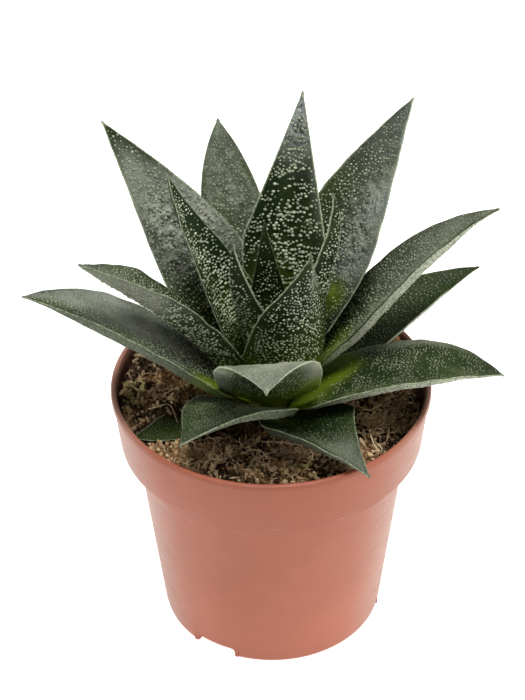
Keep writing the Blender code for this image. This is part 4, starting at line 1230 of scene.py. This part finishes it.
strewing, given = node_tree(
    "strewn_fibres", Geometry=["Soil"], Object=["Long Fibres"], Int=["Seed"], Material=["Coir"],
    Float=["Spacing", "Bend", "Radius", "Rise"])
hairy = attribute(strewing, "hairy")
spread = strew(strewing, given["Soil"], given["Spacing"], HAIRS_TO_SQUARE_METRE, hairy, given["Seed"])
inputs = {"Resolution": 3, "Radius": given["Radius"]}
profile = put(strewing, "GeometryNodeCurvePrimitiveCircle", inputs)
hairs = []
for k, (bend, sweep) in enumerate(HAIR_ARCS):
    arc = put(strewing, "GeometryNodeCurveArc", {
        "Resolution": 7, "Radius": times(strewing, given["Bend"], bend), "Sweep Angle": sweep})
    half = sweep / 2
    inset = -bend * math.sin(half) / half
    middle = [times(strewing, given["Bend"], inset * part) for part in (math.cos(half), math.sin(half))]
    inputs = {0: knead(strewing, 240.0, 4.0 * k, 5.0 * MM), 1: vector(strewing, *middle)}
    sway = put(strewing, "ShaderNodeVectorMath", inputs, operation="ADD")
    arc = put(strewing, "GeometryNodeSetPosition", {"Geometry": arc, "Offset": sway})
    inputs = {"Curve": arc, "Profile Curve": profile, "Fill Caps": True}
    hairs.append(put(strewing, "GeometryNodeCurveToMesh", inputs))
spin = spun(strewing, (-0.35, -0.35, 0.0), (0.35, 0.35, 6.3), given["Seed"])
hairs = put(strewing, "GeometryNodeTranslateInstances", {
    "Instances": set_down(strewing, spread["Points"], hairs, spin), "Local Space": False,
    "Translation": vector(strewing, 0.0, 0.0, given["Rise"])})
hairs = note(strewing, hairs, "straw", chance(strewing, 0.0, 1.0, given["Seed"], 9.0), "INSTANCE")
long_ones = put(strewing, "GeometryNodeObjectInfo", {"Object": given["Long Fibres"]}, take="Geometry")
close_tree(strewing, [hairs, note(strewing, long_ones, "straw", 1.0)], given["Coir"])

coir, tree, shader, place = start_finish("coir_hair", Roughness=0.8, Specular_IOR_Level=0.1)
shade = ease(tree, clouds(tree, place, 500.0), 0.35, 0.75, 0.0, 0.15)
coat(tree, shader, tint(tree, share_of(tree, "straw"), COIR_BROWN, COIR_PALE), (shade, COIR_SHADE))
grain(tree, shader, clouds(tree, place, 3000.0, 2.0), 0.3, 0.05)
fibres = hang("coir_fibres", soil.data.copy())
fibres.data.materials.clear()
grow(fibres, strewing, {
    "Long Fibres": long_fibres, "Spacing": HAIR_SPACING * MM, "Bend": HAIR_BEND * MM,
    "Radius": HAIR_RADIUS * MM, "Rise": HAIR_RISE * MM, "Seed": ROOT_SEED, "Coir": coir})
bpy.data.objects.remove(long_fibres)
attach(fibres, "root")

shape = bmesh.new()
for n, (x, y, radius) in enumerate(GRANULES):
    made = bmesh.ops.create_icosphere(shape, subdivisions=3, radius=radius * MM)["verts"]
    at = Vector((x, y, soil_level(x, y)[0] + radius * 0.75)) * MM
    for vert in made:
        rough = noise.noise(vert.co * 700.0 + Vector((9.0 * n, 0.0, 0.0)))
        vert.co = vert.co * (1.0 + 0.3 * rough) + at
mesh = bpy.data.meshes.new("clay_granules")
shape.to_mesh(mesh)
shape.free()
mesh.shade_smooth()
clay, tree, shader, place = start_finish("fired_clay", Roughness=0.85, Specular_IOR_Level=0.25)
coat(tree, shader, tint(tree, ease(tree, clouds(tree, place, 500.0, 4.0), 0.3, 0.7), CLAY, CLAY_PALE))
grain(tree, shader, clouds(tree, place, 1500.0, 3.0, 0.6), 0.5, 0.3)
mesh.materials.append(clay)
granules = hang("clay_granules", mesh)
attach(granules, "root")

# Table, light and camera
# A white table top under a large soft light from above, with weaker ones at the sides and behind,
# and the camera where the photo was taken. Each light's place and size are in metres, then its
# watts and its colour.

FLOOR_RADIUS = 4000.0
CAMERA_RISE = 37.97
CAMERA_ROLL = 0.557
CAMERA_DISTANCE = 880.0
CAMERA_AIM = (-3.09, 0.0, 119.85)
CAMERA_LENS = 122.29
SENSOR_WIDTH = 36.0
PAPER_WHITE = (206, 206, 205)
PAPER_WHITER = (210, 210, 209)
PAPER_GLOW = 0.95
LIGHT_AIM = (0.0, 0.0, 0.1)
LIGHTS = (
    ("light_above", (0.1, -0.1, 1.5), (0.7, 0.6), 20.0, (1.0, 1.0, 1.0)),
    ("light_behind", (-0.1, 0.8, 1.2), (1.0, 0.7), 2.0, (1.0, 1.0, 1.0)),
    ("light_right", (1.25, -0.25, 0.5), (0.9, 0.7), 9.0, (1.0, 0.985, 0.92)),
    ("light_left", (-1.25, -0.15, 0.5), (0.9, 0.7), 5.0, (0.98, 0.99, 1.0)),
)

shape = bmesh.new()
bmesh.ops.create_circle(shape, cap_ends=True, segments=96, radius=FLOOR_RADIUS * MM)
mesh = bpy.data.meshes.new("white_table")
shape.to_mesh(mesh)
shape.free()
table = hang("white_table", mesh)
white, tree, shader, place = start_finish("white_paper", Roughness=0.9, Specular_IOR_Level=0.1)
coat(tree, shader, tint(tree, clouds(tree, place, 6.0), PAPER_WHITE, PAPER_WHITER))
shader.inputs["Emission Color"].default_value = (1.0, 1.0, 1.0, 1.0)
shader.inputs["Emission Strength"].default_value = PAPER_GLOW
mesh.materials.append(white)

sky = bpy.data.worlds.new("studio")
sky.use_nodes = True
tree = sky.node_tree
view = put(tree, "ShaderNodeTexCoord", take="Generated")
towards = put(tree, "ShaderNodeSeparateXYZ", {0: view}, take=1)
tree.links.new(ease(tree, towards, -0.4, 0.8, 0.14, 0.3), tree.nodes["Background"].inputs[1])
tree.nodes["Background"].inputs[0].default_value = (1.0, 1.0, 1.0, 1.0)
bpy.context.scene.world = sky

for name, at, size, watts, colour in LIGHTS:
    lamp = bpy.data.lights.new(name, "AREA")
    lamp.shape = "RECTANGLE"
    lamp.size, lamp.size_y = size
    lamp.energy = watts
    lamp.color = colour
    obj = bpy.data.objects.new(name, lamp)
    bpy.context.scene.collection.objects.link(obj)
    obj.location = at
    obj.rotation_euler = (Vector(LIGHT_AIM) - Vector(at)).to_track_quat("-Z", "Y").to_euler()

rise = math.radians(CAMERA_RISE)
level, upright = math.cos(rise), math.sin(rise)
back = Vector((0.0, -level, upright))
turn = Matrix(((1.0, 0.0, 0.0), (0.0, upright, -level), (0.0, level, upright)))
camera = bpy.data.cameras.new("camera")
camera.lens = CAMERA_LENS
camera.sensor_width = SENSOR_WIDTH
camera.clip_start = 0.05
camera.clip_end = 20.0
camera_obj = bpy.data.objects.new("camera", camera)
bpy.context.scene.collection.objects.link(camera_obj)
place = Vector([c * MM for c in CAMERA_AIM]) + back * CAMERA_DISTANCE * MM
spin = Matrix.Rotation(-math.radians(CAMERA_ROLL), 4, "Z")
camera_obj.matrix_world = Matrix.Translation(place) @ turn.to_4x4() @ spin
bpy.context.scene.camera = camera_obj
bpy.context.scene.view_settings.view_transform = "Standard"
